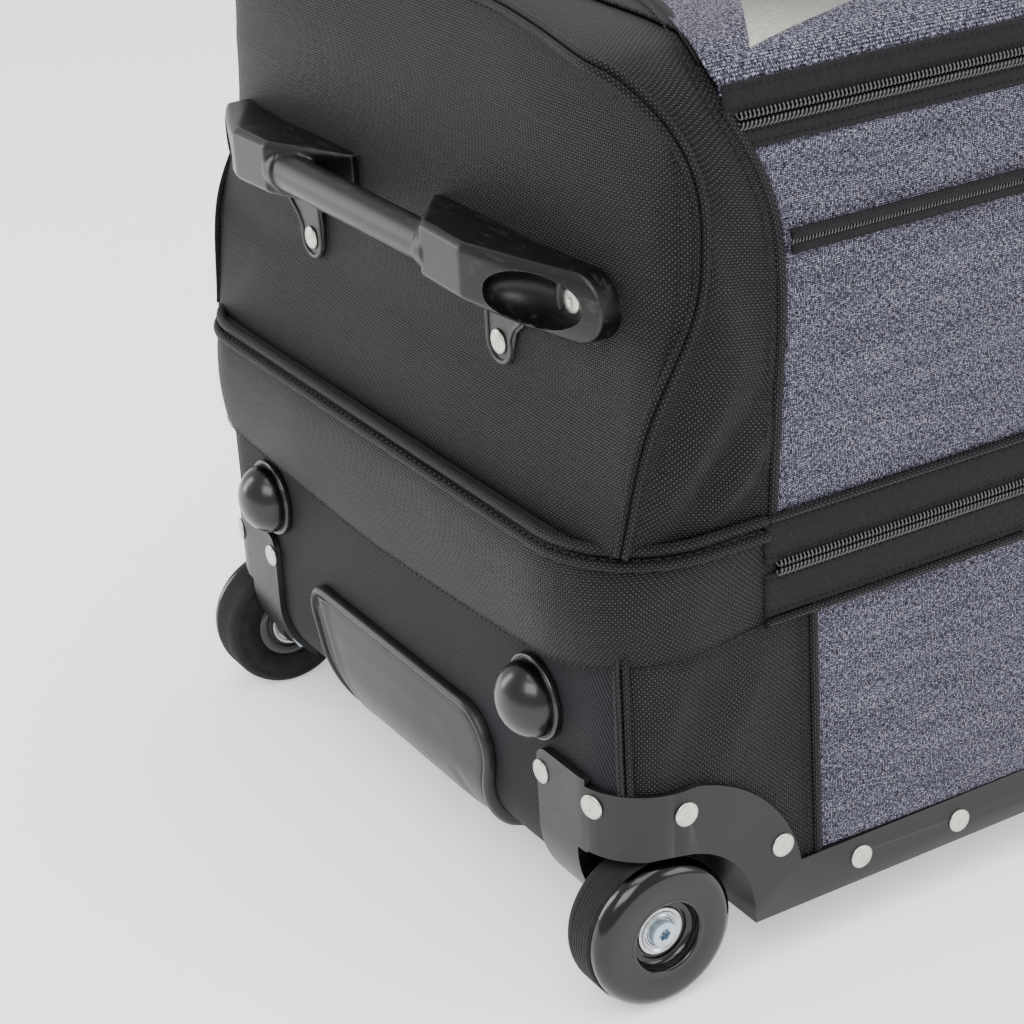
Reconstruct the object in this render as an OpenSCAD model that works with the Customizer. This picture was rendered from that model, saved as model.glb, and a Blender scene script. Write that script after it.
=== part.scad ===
// Wheeled two-deck bowling ball bag.
// X runs along the bag from the wheel end, Y across it and Z up; the wheels and the far feet stand on z = 0.
// Lengths are in millimetres. place() moves the bag so that the origin is under the middle of its outline.

/* [Bag] */
// Length of the fabric body, wheel end to far end
body_len = 730; // [720:2:760]
// Half the width over the lower fabric sides
half_w = 184; // [180:1:190]
// Height of the lid's top face
top_z = 400; // [392:1:406]
// Height of the parting line between the two decks
split_z = 187; // [186:1:190]
// Thickness of a padded fabric panel
panel_t = 4; // [3:0.5:5]

/* [Ball deck] */
// Diameter of a bowling ball
ball_d = 218; // [214:1:218]
// Spacing of the ball cups along the bag
ball_pitch = 224; // [222:1:226]

/* [Wheels] */
// Wheel diameter
wheel_d = 68; // [64:1:68]
// Wheel width
wheel_w = 28; // [26:1:28]
// Distance of the axle behind the wheel end
axle_x = 21.4; // [20:0.2:24]

/* [Trolley handle] */
// Distance between the two tubes
tube_gap = 160; // [140:2:170]
// Length of the outer tubes
outer_tube_len = 650; // [620:5:650]
// Length of the inner tubes
inner_tube_len = 608; // [560:4:608]

/* [Hidden] */
$fn = 64;
big = 2000;        // larger than the bag, for cutting
eps = 0.01;

// Heights of the lower deck
floor_z = 27;              // underside of the fabric
deck_top = 165;            // where the lower fabric meets the zip strip
skin_t = 3;                // moulded housings and feet
tub_r = 30;                // vertical corners of the lower deck
under_r = 40;              // rounding from the ends to the underside
board_t = 4;
tray_top = 110;
cup_floor = 6;             // foam left under a ball
ball_r = ball_d / 2;
ball_z = floor_z + panel_t + board_t + cup_floor + ball_r;
first_ball_x = body_len / 2 - ball_pitch;

// Upper deck
divider_z = 262;           // underside of the shoe deck floor
upper_r = 55;              // vertical corners of the upper deck
shoulder_r = 24;           // rounding from the sides to the lid
lean_x = 20;               // the ends lean in at handle height
top_lean = 24;             // and at the lid
upper_w = half_w;
gusset_x = 79;             // seam between black gusset and side panel
lid_x = 62;                // wheel end edge of the lid
lower_gusset_x = 96;

// Parting band and zips
band_r = 48;
band_out = 8;              // how far the band stands out past the wheel end
band_w = half_w + 6;
band_low = 147;
band_high = 209;
zip_gap = 2.2;             // between the two rows of a zip
row_h = 3;
row_t = 2.8;
tape_t = 1.2;
zip_start = 72;
lid_zip_z = 371.5;
lid_end_x = body_len - lid_x;
pocket_z = 322;

// Wheels
wheel_r = wheel_d / 2;
wheel_out = half_w + skin_t;           // outer face of a wheel
wheel_in = wheel_out - wheel_w;
hub_r = 18;
recess_r = 15.6;
recess_depth = 6.5;
bearing_or = 11;
bearing_w = 7;
bore_r = 4;
arch_r = 41.3;
arch_x = axle_x + 2.6;
arch_z = 30;
hump_r = 69;
rail_top = 46.5;
rail_end = 250;
well_wall = 3;
leg_in = 123.5;
leg_out = 153.5;
bolt_r = 3.95;

// Rivets on the base mouldings: [x, z] on a side, [y, z] on the wheel end
side_rivets = [[31.6, 90.2], [79.5, 57.5], [121, 36], [175, 34], [228, 34]];
end_rivets = [[127.2, 92.5], [163.8, 93]];
foot_rivets = [[body_len - 80, 36], [body_len - 35, 36]];
rivet_r = 5.5;
rivet_head = 1.4;
shank_r = 2;

// Trolley handle
tube_y = tube_gap / 2;
tube_z = floor_z + panel_t + board_t + 7;
outer_tube = [20, 13];
inner_tube = [16.4, 9.4];
tube_wall = 1.2;
outer_start = body_len - 6 - outer_tube_len;
grip_x = body_len + 9;
inner_start = grip_x + 3 - inner_tube_len;
grip_depth = 22;
grip_w = 104;
grip_h = 22;
bezel_w = 118;
button_w = 19;

// Grab handle on the wheel end
grab_z = 306;
grab_face = lean_x;
grab_front = -9;
grab_tip = 176;
tab_rivets = [[83.2, 266.3], [145, 300]];
tab_r = 10;

// Carry straps
strap_x = [265, 465];
strap_w = 38;
strap_top = 339;           // just under the travel of the lid zip's pull
strap_drop = 100;
strap_t = 3;
strap_off = 10.5;          // stands clear of the pocket zip's pull

x_low = -15;
x_high = grip_x + grip_depth;
x_mid = (x_low + x_high) / 2;

module place() {
    translate([-x_mid, 0, 0]) children();
}

// ---- shared shapes ----

module round_rect(x0, x1, hw, r) {
    translate([x0 + r, -hw]) square([x1 - x0 - 2 * r, 2 * hw]);
    translate([x0, -hw + r]) square([x1 - x0, 2 * hw - 2 * r]);
    for (x = [x0 + r, x1 - r], y = [-hw + r, hw - r]) translate([x, y]) circle(r);
}

// An x-z outline stretched across the bag
module across(w = big) {
    rotate([90, 0, 0]) linear_extrude(w, center = true) children();
}

// A y-z outline stretched along the bag
module along(x0, x1) {
    translate([x0, 0, 0]) rotate([90, 0, 90]) linear_extrude(x1 - x0) children();
}

module box(lo, hi) {
    translate(lo) cube(hi - lo);
}

// A cylinder along Y between two y values
module rod_y(x, z, r, y0, y1) {
    translate([x, min(y0, y1), z]) rotate([-90, 0, 0]) cylinder(h = abs(y1 - y0), r = r);
}

// A cylinder along X between two x values
module rod_x(y, z, r, x0, x1) {
    translate([x0, y, z]) rotate([0, 90, 0]) cylinder(h = x1 - x0, r = r);
}

// Lower deck as a solid; grow adds to every face
module lower_solid(grow) {
    x0 = skin_t - grow;
    x1 = body_len - skin_t + grow;
    z0 = floor_z - grow;
    r = under_r + grow;
    intersection() {
        linear_extrude(split_z + 20) round_rect(x0, x1, half_w + grow, tub_r + grow);
        across() union() {
            translate([x0, z0 + r]) square([x1 - x0, split_z + 20 - z0 - r]);
            translate([x0 + r, z0]) square([x1 - x0 - 2 * r, r + eps]);
            for (x = [x0 + r, x1 - r]) translate([x, z0 + r]) circle(r);
        }
    }
}

module lower_shell() {
    difference() {
        lower_solid(0);
        lower_solid(-panel_t);
        box([-big, -big, split_z - 1], [big, big, big]);
        box([zip_start, -big, deck_top], [big, big, big]);
        wells(0);
        nut_pockets(9);
        rivet_shanks(shank_r + 0.1);
    }
}

// Room for the axle nuts behind the wheel housings
module nut_pockets(r) {
    for (s = [-1, 1]) scale_y(s) rod_y(axle_x, wheel_r, r, leg_out - 14, leg_out - well_wall);
}

// The space of both wheel housings' wells, cut out of everything inside the bag
module wells(clear) {
    for (s = [-1, 1]) scale_y(s)
        box([-30, leg_out - well_wall - clear, -1], [arch_x + arch_r + well_wall + clear, big,
             arch_z + arch_r + well_wall + clear]);
}

module scale_y(s) {
    if (s < 0) mirror([0, 1, 0]) children();
    else children();
}

module mirror_x(far) {
    if (far) translate([body_len, 0, 0]) mirror([1, 0, 0]) children();
    else children();
}

// Points of an arc from angle a to angle b
function arc(x, y, r, a, b) = [for (i = [0:8]) [x + r * cos(a + (b - a) * i / 8), y + r * sin(a + (b - a) * i / 8)]];

// Upper deck as a solid; grow adds to every face
module upper_solid(grow) {
    hw = upper_w + grow;
    r = shoulder_r + grow;
    top = top_z + grow;
    near = top_lean + shoulder_r;
    end = [[skin_t, 0], [skin_t, band_high], [lean_x, 256], [lean_x, 330]];
    intersection() {
        linear_extrude(top) round_rect(skin_t - grow, body_len - skin_t + grow, hw, upper_r + grow);
        across() polygon(concat(
            [for (p = end) [p[0] - grow, p[1]]],
            arc(near, top - r, r, 180, 90),
            arc(body_len - near, top - r, r, 90, 0),
            [for (i = [len(end) - 1:-1:0]) [body_len - end[i][0] + grow, end[i][1]]]));
        along(-10, body_len + 10) polygon(concat(
            [[-hw, 0]],
            arc(r - hw, top - r, r, 180, 90),
            arc(hw - r, top - r, r, 90, 0),
            [[hw, 0]]));
    }
}

module upper_shell() {
    difference() {
        upper_solid(0);
        upper_solid(-panel_t);
        box([-big, -big, -1], [big, big, split_z + 1]);
        box([zip_start, -big, -1], [big, big, band_high]);
    }
}

// The part of the upper shell that the end panel covers, seen along the bag
module end_arch() {
    hw = 172;
    top = top_z - 13;
    r = 48;
    union() {
        translate([-hw, 0]) square([2 * hw, top - r]);
        translate([-hw + r, 0]) square([2 * hw - 2 * r, top]);
        for (y = [-hw + r, hw - r]) translate([y, top - r]) circle(r);
    }
}

module rivet_positions() {
    for (s = [-1, 1]) scale_y(s) {
        for (p = side_rivets) translate([p[0], half_w + skin_t, p[1]]) rotate([-90, 0, 0]) children();
        for (p = foot_rivets) translate([p[0], half_w + skin_t, p[1]]) rotate([-90, 0, 0]) children();
        for (p = end_rivets) {
            turn = asin(max(0, p[0] - half_w + tub_r) / (tub_r + skin_t));
            translate([(tub_r + skin_t) * (1 - cos(turn)), p[0], p[1]]) rotate([0, 0, -turn])
                rotate([0, -90, 0]) children();
        }
    }
}

module rivet_shanks(r) {
    rivet_positions() translate([0, 0, -skin_t - panel_t - 1]) cylinder(h = skin_t + panel_t + 2, r = r, $fn = 24);
}

// ---- lower deck ----

module bottom_panel() {
    color([0.08, 0.08, 0.09]) intersection() {
        lower_shell();
        box([under_r + skin_t, -175, 0], [body_len - under_r - skin_t, 175, 60]);
    }
}

module base_board() {
    z0 = floor_z + panel_t;
    color([0.75, 0.75, 0.72]) difference() {
        translate([0, 0, z0]) linear_extrude(board_t) round_rect(45, body_len - 45, half_w - panel_t - 2, 20);
        wells(1);
    }
}

module ball_tray() {
    z0 = floor_z + panel_t + board_t;
    color([0.2, 0.2, 0.22]) difference() {
        translate([0, 0, z0]) linear_extrude(tray_top - z0)
            round_rect(50, body_len - 50, half_w - panel_t - 3, 20);
        for (i = [0:2]) translate([first_ball_x + i * ball_pitch, 0, ball_z]) sphere(ball_r + 1, $fn = 96);
        for (s = [-1, 1]) translate([0, s * tube_y, z0 + 7])
            cube([big, outer_tube[0] + 1, outer_tube[1] + 3], center = true);
        wells(8);
    }
}

module lower_side(s) {
    color([0.45, 0.45, 0.5]) scale_y(s) intersection() {
        lower_shell();
        box([lower_gusset_x, 175, 0], [body_len - lower_gusset_x, big, deck_top]);
    }
}

module lower_end(far) {
    color([0.1, 0.1, 0.11]) difference() {
        intersection() {
            lower_shell();
            mirror_x(far) box([-10, -175, 0], [under_r + skin_t, 175, big]);
        }
        if (far) handle_slots(1);
    }
}

module lower_gussets() {
    color([0.1, 0.1, 0.11]) for (far = [false, true], s = [-1, 1]) intersection() {
        lower_shell();
        mirror_x(far) scale_y(s) box([-10, 175, 0], [lower_gusset_x, big, big]);
    }
}

// Padded band round the wheel end, over a deck whose plan has corners of radius r
module band_ring(z0, z1, r) {
    translate([0, 0, z0]) linear_extrude(z1 - z0) difference() {
        round_rect(-band_out, body_len, band_w, band_r);
        round_rect(skin_t, body_len + 1, half_w, r);
        translate([zip_start, -big]) square(2 * big);
    }
}

module hinge_band_lower() {
    color([0.1, 0.1, 0.11]) band_ring(band_low, split_z - zip_gap / 2, tub_r);
}

module hinge_band_upper() {
    color([0.1, 0.1, 0.11]) band_ring(split_z + zip_gap / 2, band_high, upper_r);
}

// One row of the parting zip: a tape from z0 to z1 with a row of teeth from r0 to r1
module deck_zip(z0, z1, r0, r1) {
    difference() {
        union() {
            translate([0, 0, z0]) linear_extrude(z1 - z0) zip_path(0, tape_t);
            translate([0, 0, r0]) linear_extrude(r1 - r0) zip_path((row_t - tape_t) / 2, row_t);
        }
        box([-big, -big, 0], [zip_start + 0.2, big, big]);
    }
}

// Plan of a strip of thickness t that stands out past the deck's sides
module zip_path(out, t) {
    x0 = skin_t - out;
    difference() {
        round_rect(x0, body_len - x0, half_w + out, upper_r + out);
        round_rect(x0 + t, body_len - x0 - t, half_w + out - t, upper_r + out - t);
    }
}

module deck_zip_lower() {
    color([0.06, 0.06, 0.06]) deck_zip(deck_top, split_z - zip_gap / 2 - 1,
        split_z - zip_gap / 2 - row_h, split_z - zip_gap / 2);
}

module deck_zip_upper() {
    color([0.06, 0.06, 0.06]) deck_zip(split_z + zip_gap / 2 + 1, band_high,
        split_z + zip_gap / 2, split_z + zip_gap / 2 + row_h);
}

// ---- base mouldings ----

// Side view of a wheel housing: hump round the wheel, rail along the bottom edge
module housing_side_outline() {
    difference() {
        union() {
            intersection() {
                translate([axle_x, wheel_r]) circle(hump_r, $fn = 128);
                translate([axle_x, 0]) square([big, 101]);
            }
            translate([-5, 0]) square([axle_x + 20, 101]);
            square([rail_end - 8, rail_top]);
            translate([rail_end - 8, 0]) square([8, rail_top - 8]);
            translate([rail_end - 8, rail_top - 8]) circle(8);
        }
        translate([arch_x, arch_z]) circle(arch_r, $fn = 128);
        translate([-10, -10]) square([arch_x + 10, arch_z + arch_r - 1 + 10]);
        translate([0, -10]) square([arch_x + arch_r, arch_z + 10]);
    }
}

module housing_end_outline() {
    difference() {
        union() {
            translate([leg_in, 0]) square([leg_out - leg_in, 97]);
            translate([leg_in + 7, 0]) square([160 - leg_in - 7, 104]);
            translate([leg_in + 7, 97]) circle(7);
        }
        translate([leg_out, -1]) square([20, arch_z + arch_r - 2 + 1]);
    }
}

module wheel_housing(s) {
    well_top = arch_z + arch_r;
    color([0.16, 0.16, 0.17]) scale_y(s) difference() {
        union() {
            intersection() {
                difference() {
                    lower_solid(skin_t);
                    lower_solid(0);
                }
                union() {
                    intersection() {
                        across() housing_side_outline();
                        box([-10, 160, 0], [big, big, 120]);
                    }
                    along(-10, under_r + skin_t + 30) housing_end_outline();
                }
            }
            // inner wall of the well, with the boss that carries the axle
            intersection() {
                lower_solid(skin_t);
                box([-5, leg_out - well_wall, 0], [arch_x + arch_r + well_wall, leg_out, well_top + well_wall]);
            }
            rod_y(axle_x, wheel_r, 8, leg_out - eps, wheel_in - 0.3);
            // curved liner over the wheel
            intersection() {
                lower_solid(skin_t);
                difference() {
                    box([-5, leg_out - eps, floor_z - skin_t], [arch_x + arch_r + well_wall, half_w + skin_t,
                        well_top + well_wall]);
                    rod_y(arch_x, arch_z, arch_r, 0, big);
                    box([-30, 0, -1], [arch_x, big, well_top]);
                    box([-30, 0, -1], [arch_x + arch_r, big, arch_z]);
                    difference() {
                        box([arch_x, 0, arch_z], [big, big, big]);
                        rod_y(arch_x, arch_z, arch_r + well_wall, 0, big);
                    }
                }
            }
        }
        rod_y(axle_x, wheel_r, bore_r + 0.05, 0, big);
        nut_pockets(8);
        rivet_shanks(shank_r + 0.1);
    }
}

module corner_foot(s) {
    color([0.16, 0.16, 0.17]) scale_y(s) difference() {
        union() {
            intersection() {
                difference() {
                    lower_solid(skin_t);
                    lower_solid(0);
                }
                box([body_len - 110, 130, 0], [big, big, rail_top]);
            }
            translate([body_len - 75, 152, 0]) cylinder(h = floor_z - skin_t + eps, r = 16);
            box([body_len - 75, 136, 0], [body_len - 50, 168, floor_z - skin_t + eps]);
            translate([body_len - 50, 152, 0]) cylinder(h = floor_z - skin_t + eps, r = 16);
        }
        rivet_shanks(shank_r + 0.1);
    }
}

module kick_plate() {
    t = 5;
    color([0.2, 0.2, 0.21]) intersection() {
        difference() {
            lower_solid(t);
            lower_solid(0);
        }
        along(-20, 78) union() {
            translate([-90, 0]) square([180, 80]);
            translate([-72, 0]) square([144, 98]);
            for (y = [-72, 72]) translate([y, 80]) circle(18);
        }
    }
}

module bumper_domes() {
    flange_r = 19;
    dome_r = 16.7;
    color([0.18, 0.18, 0.19]) for (s = [-1, 1]) union() {
        rod_x(s * 122.8, 125.7, flange_r, 0, skin_t - 0.02);
        intersection() {
            translate([-15 + dome_r, s * 122.8, 125.7]) sphere(dome_r, $fn = 96);
            box([-40, -big, 0], [eps, big, big]);
        }
    }
}

module base_rivets() {
    color([0.8, 0.79, 0.75]) rivet_positions() union() {
        cylinder(h = rivet_head, r = rivet_r, $fn = 48);
        translate([0, 0, -skin_t - panel_t]) cylinder(h = skin_t + panel_t + eps, r = shank_r, $fn = 24);
    }
}

// ---- wheels: s is the side, -1 right and 1 left ----

module ring_y(r1, r2, y0, y1) {
    difference() {
        rod_y(axle_x, wheel_r, r2, y0, y1);
        rod_y(axle_x, wheel_r, r1, y0 - 1, y1 + 1);
    }
}

module tyre(s) {
    corner = 7;
    w = wheel_w / 2;
    color([0.1, 0.1, 0.11]) scale_y(s) translate([axle_x, (wheel_out + wheel_in) / 2, wheel_r])
        rotate([90, 0, 0]) rotate_extrude($fn = 128) union() {
            translate([hub_r, -w]) square([wheel_r - corner - hub_r, 2 * w]);
            translate([hub_r, -w + corner]) square([wheel_r - hub_r, 2 * w - 2 * corner]);
            for (y = [-w + corner, w - corner]) translate([wheel_r - corner, y]) circle(corner);
        }
}

module hub(s) {
    color([0.14, 0.13, 0.13]) scale_y(s) difference() {
        rod_y(axle_x, wheel_r, hub_r - 0.02, wheel_in, wheel_out);
        rod_y(axle_x, wheel_r, recess_r, wheel_out - recess_depth, wheel_out + 1);
        rod_y(axle_x, wheel_r, bearing_or, wheel_out - recess_depth - bearing_w, wheel_out);
        rod_y(axle_x, wheel_r, bearing_or, wheel_in - 1, wheel_in + bearing_w);
        rod_y(axle_x, wheel_r, 9.5, 0, big);
    }
}

bearing_faces = [wheel_in, wheel_out - recess_depth - bearing_w];

module bearing_outer(s) {
    color([0.8, 0.82, 0.8]) scale_y(s) for (y = bearing_faces) union() {
        ring_y(9.4, bearing_or - 0.01, y + 0.02, y + bearing_w);
        ring_y(6.6, 9.5, y + 0.5, y + 0.9);
        ring_y(6.6, 9.5, y + bearing_w - 0.9, y + bearing_w - 0.5);
    }
}

module bearing_inner(s) {
    color([0.7, 0.72, 0.7]) scale_y(s) for (y = bearing_faces) ring_y(bore_r, 6.2, y, y + bearing_w);
}

module bearing_spacers() {
    color([0.7, 0.7, 0.7]) for (s = [-1, 1]) scale_y(s)
        ring_y(bore_r + 0.1, 6, bearing_faces[0] + bearing_w, bearing_faces[1]);
}

module axle_bolt(s) {
    head = bearing_faces[1] + bearing_w;
    color([0.75, 0.78, 0.8]) scale_y(s) difference() {
        union() {
            rod_y(axle_x, wheel_r, bolt_r, leg_out - 12, head + eps);
            rod_y(axle_x, wheel_r, 5.6, head, head + 3.4);
        }
        translate([axle_x, head + 1.2, wheel_r]) rotate([-90, 0, 0]) cylinder(h = 4, r = 2.9, $fn = 6);
    }
}

module axle_nuts() {
    color([0.7, 0.7, 0.7]) for (s = [-1, 1]) scale_y(s) difference() {
        translate([axle_x, leg_out - well_wall - 6.5, wheel_r]) rotate([-90, 0, 0])
            cylinder(h = 6.4, r = 7.4, $fn = 6);
        rod_y(axle_x, wheel_r, bolt_r + 0.05, 0, big);
    }
}

// ---- trolley handle ----

module rect_tube(size, wall, x0, x1) {
    for (s = [-1, 1]) difference() {
        box([x0, s * tube_y - size[0] / 2, tube_z - size[1] / 2],
            [x1, s * tube_y + size[0] / 2, tube_z + size[1] / 2]);
        box([x0 - 1, s * tube_y - size[0] / 2 + wall, tube_z - size[1] / 2 + wall],
            [x1 + 1, s * tube_y + size[0] / 2 - wall, tube_z + size[1] / 2 - wall]);
    }
}

module handle_slots(clear) {
    for (s = [-1, 1])
        box([body_len - 60, s * tube_y - inner_tube[0] / 2 - clear, tube_z - inner_tube[1] / 2 - clear],
            [body_len + 40, s * tube_y + inner_tube[0] / 2 + clear, tube_z + inner_tube[1] / 2 + clear]);
}

module outer_tubes() {
    color([0.62, 0.63, 0.65]) rect_tube(outer_tube, tube_wall, outer_start, outer_start + outer_tube_len - 41);
}

module inner_tubes() {
    color([0.7, 0.71, 0.73]) rect_tube(inner_tube, tube_wall, inner_start, grip_x + 3);
}

module handle_bezel() {
    z0 = tube_z - 15;
    color([0.15, 0.15, 0.16]) difference() {
        union() {
            intersection() {
                difference() {
                    lower_solid(6);
                    lower_solid(0);
                }
                box([body_len - 60, -bezel_w, z0 - 20], [body_len + 20, bezel_w, z0 + 46]);
            }
        }
        handle_slots(0.3);
    }
}

module grip_shell() {
    z0 = tube_z - grip_h / 2;
    r = 9;
    color([0.12, 0.12, 0.13]) difference() {
        translate([0, 0, z0]) linear_extrude(grip_h) union() {
            translate([grip_x, -grip_w]) square([grip_depth - r, 2 * grip_w]);
            translate([grip_x, -grip_w + r]) square([grip_depth, 2 * grip_w - 2 * r]);
            for (y = [-grip_w + r, grip_w - r]) translate([grip_x + grip_depth - r, y]) circle(r);
        }
        rect_block(0.05, grip_x - 1, grip_x + 3.05);
        box([grip_x + 3, -tube_y - 8, tube_z - 5], [grip_x + 16, tube_y + 8, tube_z + 5]);
        box([grip_x + 15, -button_w - 0.4, tube_z - 4.9], [grip_x + grip_depth + 1, button_w + 0.4, tube_z + 4.9]);
    }
}

module rect_block(clear, x0, x1) {
    for (s = [-1, 1])
        box([x0, s * tube_y - inner_tube[0] / 2 - clear, tube_z - inner_tube[1] / 2 - clear],
            [x1, s * tube_y + inner_tube[0] / 2 + clear, tube_z + inner_tube[1] / 2 + clear]);
}

module release_button() {
    color([0.3, 0.3, 0.32]) box([grip_x + 12.5, -button_w, tube_z - 4.5], [grip_x + grip_depth - 0.5, button_w, tube_z + 4.5]);
}

module release_yoke() {
    color([0.6, 0.6, 0.6]) union() {
        box([grip_x + 8, -tube_y - 4, tube_z - 3], [grip_x + 12.4, tube_y + 4, tube_z + 3]);
        for (s = [-1, 1]) rod_x(s * tube_y, tube_z, 2, inner_start + 12, grip_x + 8 + eps);
    }
}

// ---- upper deck ----

module upper_side(s) {
    color([0.45, 0.45, 0.5]) scale_y(s) intersection() {
        upper_shell();
        box([gusset_x, 150, band_high], [body_len - gusset_x, big, lid_zip_z - 13.8]);
    }
}

module upper_end(far) {
    color([0.1, 0.1, 0.11]) intersection() {
        upper_shell();
        mirror_x(far) along(-10, lid_x - 10) end_arch();
    }
}

module upper_gusset(far) {
    color([0.1, 0.1, 0.11]) difference() {
        upper_shell();
        mirror_x(far) union() {
            along(-20, lid_x - 10) end_arch();
            box([lid_x, -big, lid_zip_z - 13.8], [big, big, big]);
            box([gusset_x, -big, 0], [big, big, big]);
        }
    }
}

module divider_panel() {
    color([0.25, 0.25, 0.28]) translate([0, 0, divider_z]) linear_extrude(panel_t)
        round_rect(lean_x + panel_t, body_len - lean_x - panel_t, upper_w - panel_t, upper_r - panel_t);
}

// Both long sides of the lid zip: a tape from z0 to z1 with a row from r0 to r1
module lid_zip_sides(z0, z1, r0, r1) {
    for (s = [-1, 1]) scale_y(s) {
        box([lid_x + 1, upper_w - tape_t, z0], [lid_end_x - 1, upper_w, z1]);
        box([lid_x + 1, upper_w - (row_t + tape_t) / 2, r0], [lid_end_x - 1, upper_w + (row_t - tape_t) / 2, r1]);
    }
}

// The stretch of the lid zip that crosses the bag over the shoulders, between two x values
module lid_zip_cross(x0, x1) {
    intersection() {
        difference() {
            upper_solid(0);
            upper_solid(-row_t);
        }
        box([x0, -big, lid_zip_z + zip_gap / 2], [x1, big, big]);
    }
}

module lid_zip_lower() {
    low = lid_zip_z - zip_gap / 2;
    color([0.06, 0.06, 0.06]) union() {
        lid_zip_sides(lid_zip_z - 13.8, low - 1, low - row_h, low);
        lid_zip_cross(lid_end_x - 12, lid_end_x - 0.2);
    }
}

module lid_zip_upper() {
    low = lid_zip_z + zip_gap / 2;
    color([0.06, 0.06, 0.06]) for (s = [-1, 1]) scale_y(s) {
        box([lid_x + 1, upper_w - tape_t, low + 1], [lid_end_x - 14, upper_w, low + 4]);
        box([lid_x + 1, upper_w - (row_t + tape_t) / 2, low], [lid_end_x - 14, upper_w + (row_t - tape_t) / 2,
            low + row_h]);
    }
}

module lid_panel() {
    color([0.5, 0.5, 0.54]) intersection() {
        upper_shell();
        box([lid_x + 0.6, -big, lid_zip_z + zip_gap / 2 + 4.2], [lid_end_x - 12.6, big, big]);
    }
}

module pocket_zip() {
    color([0.06, 0.06, 0.06]) union() {
        box([gusset_x + 4, -upper_w - tape_t, pocket_z - 7], [body_len - gusset_x - 40, -upper_w - 0.02, pocket_z + 7]);
        box([gusset_x + 6, -upper_w - 2.6, pocket_z - 3], [body_len - gusset_x - 42, -upper_w - tape_t + eps,
            pocket_z + 3]);
    }
}

// ---- grab handle on the wheel end ----

module slab(x0, x1, y0, y1, z0, z1) {
    box([x0, y0, z0], [x1, y1, z1]);
}

module grab_foot() {
    hull() {
        slab(grab_face - 2, grab_face - 0.02, 34, 170, grab_z - 16, grab_z + 15);
        slab(grab_front, grab_front + 12, 68, 116, grab_z - 9, grab_z + 9);
        rod_x(164, grab_z - 3, 12, grab_face - 6, grab_face - 2);
    }
}

module grab_handle() {
    color([0.17, 0.17, 0.18]) union() {
        for (s = [-1, 1]) scale_y(s) {
            difference() {
                grab_foot();
                slab(grab_front + 14, grab_face + 1, 0, 50, 0, big);
                rod_x(145, 300, 10, -40, grab_face - 4);
            }
            rod_x(tab_rivets[0][0], tab_rivets[0][1], tab_r, grab_face - 3, grab_face - 0.02);
            slab(grab_face - 3, grab_face - 0.02, tab_rivets[0][0] - tab_r, tab_rivets[0][0] + tab_r,
                tab_rivets[0][1], grab_z - 10);
        }
        difference() {
            translate([grab_front + 6.5, 0, grab_z]) cube([13, 140, 18], center = true);
            for (a = [-1, 1]) translate([grab_front, 0, grab_z + a * 9]) rotate([0, 45, 0])
                cube([5, 150, 5], center = true);
        }
    }
}

module grab_handle_rivets() {
    color([0.8, 0.79, 0.75]) for (s = [-1, 1]) {
        rod_x(s * tab_rivets[0][0], tab_rivets[0][1], rivet_r, grab_face - 3 - rivet_head, grab_face - 3 - 0.02);
        rod_x(s * tab_rivets[1][0], tab_rivets[1][1], rivet_r, grab_face - 4 - rivet_head, grab_face - 4 - 0.02);
    }
}

// ---- carry straps ----

module strap_anchors() {
    color([0.09, 0.09, 0.1]) for (s = [-1, 1], x = strap_x) scale_y(s) union() {
        box([x - strap_w / 2, upper_w, strap_top - 8.5], [x + strap_w / 2, upper_w + 2.2, strap_top + 13]);
        box([x - strap_w / 2, upper_w, strap_top - 8.5], [x + strap_w / 2, upper_w + strap_off - 2, strap_top]);
    }
}

module carry_strap(s) {
    y0 = upper_w + strap_off;
    mid = (strap_x[0] + strap_x[1]) / 2;
    span = (strap_x[1] - strap_x[0]) / 2;
    bend = 40;
    low = strap_top - strap_drop;
    color([0.09, 0.09, 0.1]) scale_y(s) translate([0, y0 + strap_t, 0]) rotate([90, 0, 0]) linear_extrude(strap_t)
        difference() {
            union() {
                translate([mid - span - strap_w / 2, low + bend]) square([2 * span + strap_w, strap_drop - bend]);
                translate([mid - span - strap_w / 2 + bend, low]) square([2 * span + strap_w - 2 * bend, bend + eps]);
                for (a = [-1, 1]) translate([mid + a * (span + strap_w / 2 - bend), low + bend]) circle(bend);
            }
            translate([mid - span + strap_w / 2, low + strap_w]) square([2 * span - strap_w, big]);
        }
}

// ---- zip sliders: s is the side they ride on ----

// Front and back plate joined by a thin neck that runs between the two rows
module slider(x, y, z, s, t) {
    l = 15;
    h = row_h + 1.6;
    scale_y(s) translate([x, y, z]) union() {
        box([-l / 2, t / 2 + 0.35, -h], [l / 2, t / 2 + 1.9, h]);
        box([-l / 2, -t / 2 - 1.5, -h + 1.5], [l / 2, -t / 2 - 0.35, h - 1.5]);
        box([-2.5, -t / 2 - 0.4, -0.2], [2.5, t / 2 + 0.4, 0.2]);
        bridge(t / 2 + 1.8);
    }
}

// Loop on a slider that the pull's pin passes through, from y outwards
module bridge(y) {
    difference() {
        box([-2.5, y, -2.8], [2.5, y + 3.6, 2.8]);
        box([-3, y + 0.6, -1.7], [3, y + 2.8, 1.7]);
    }
}

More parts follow.
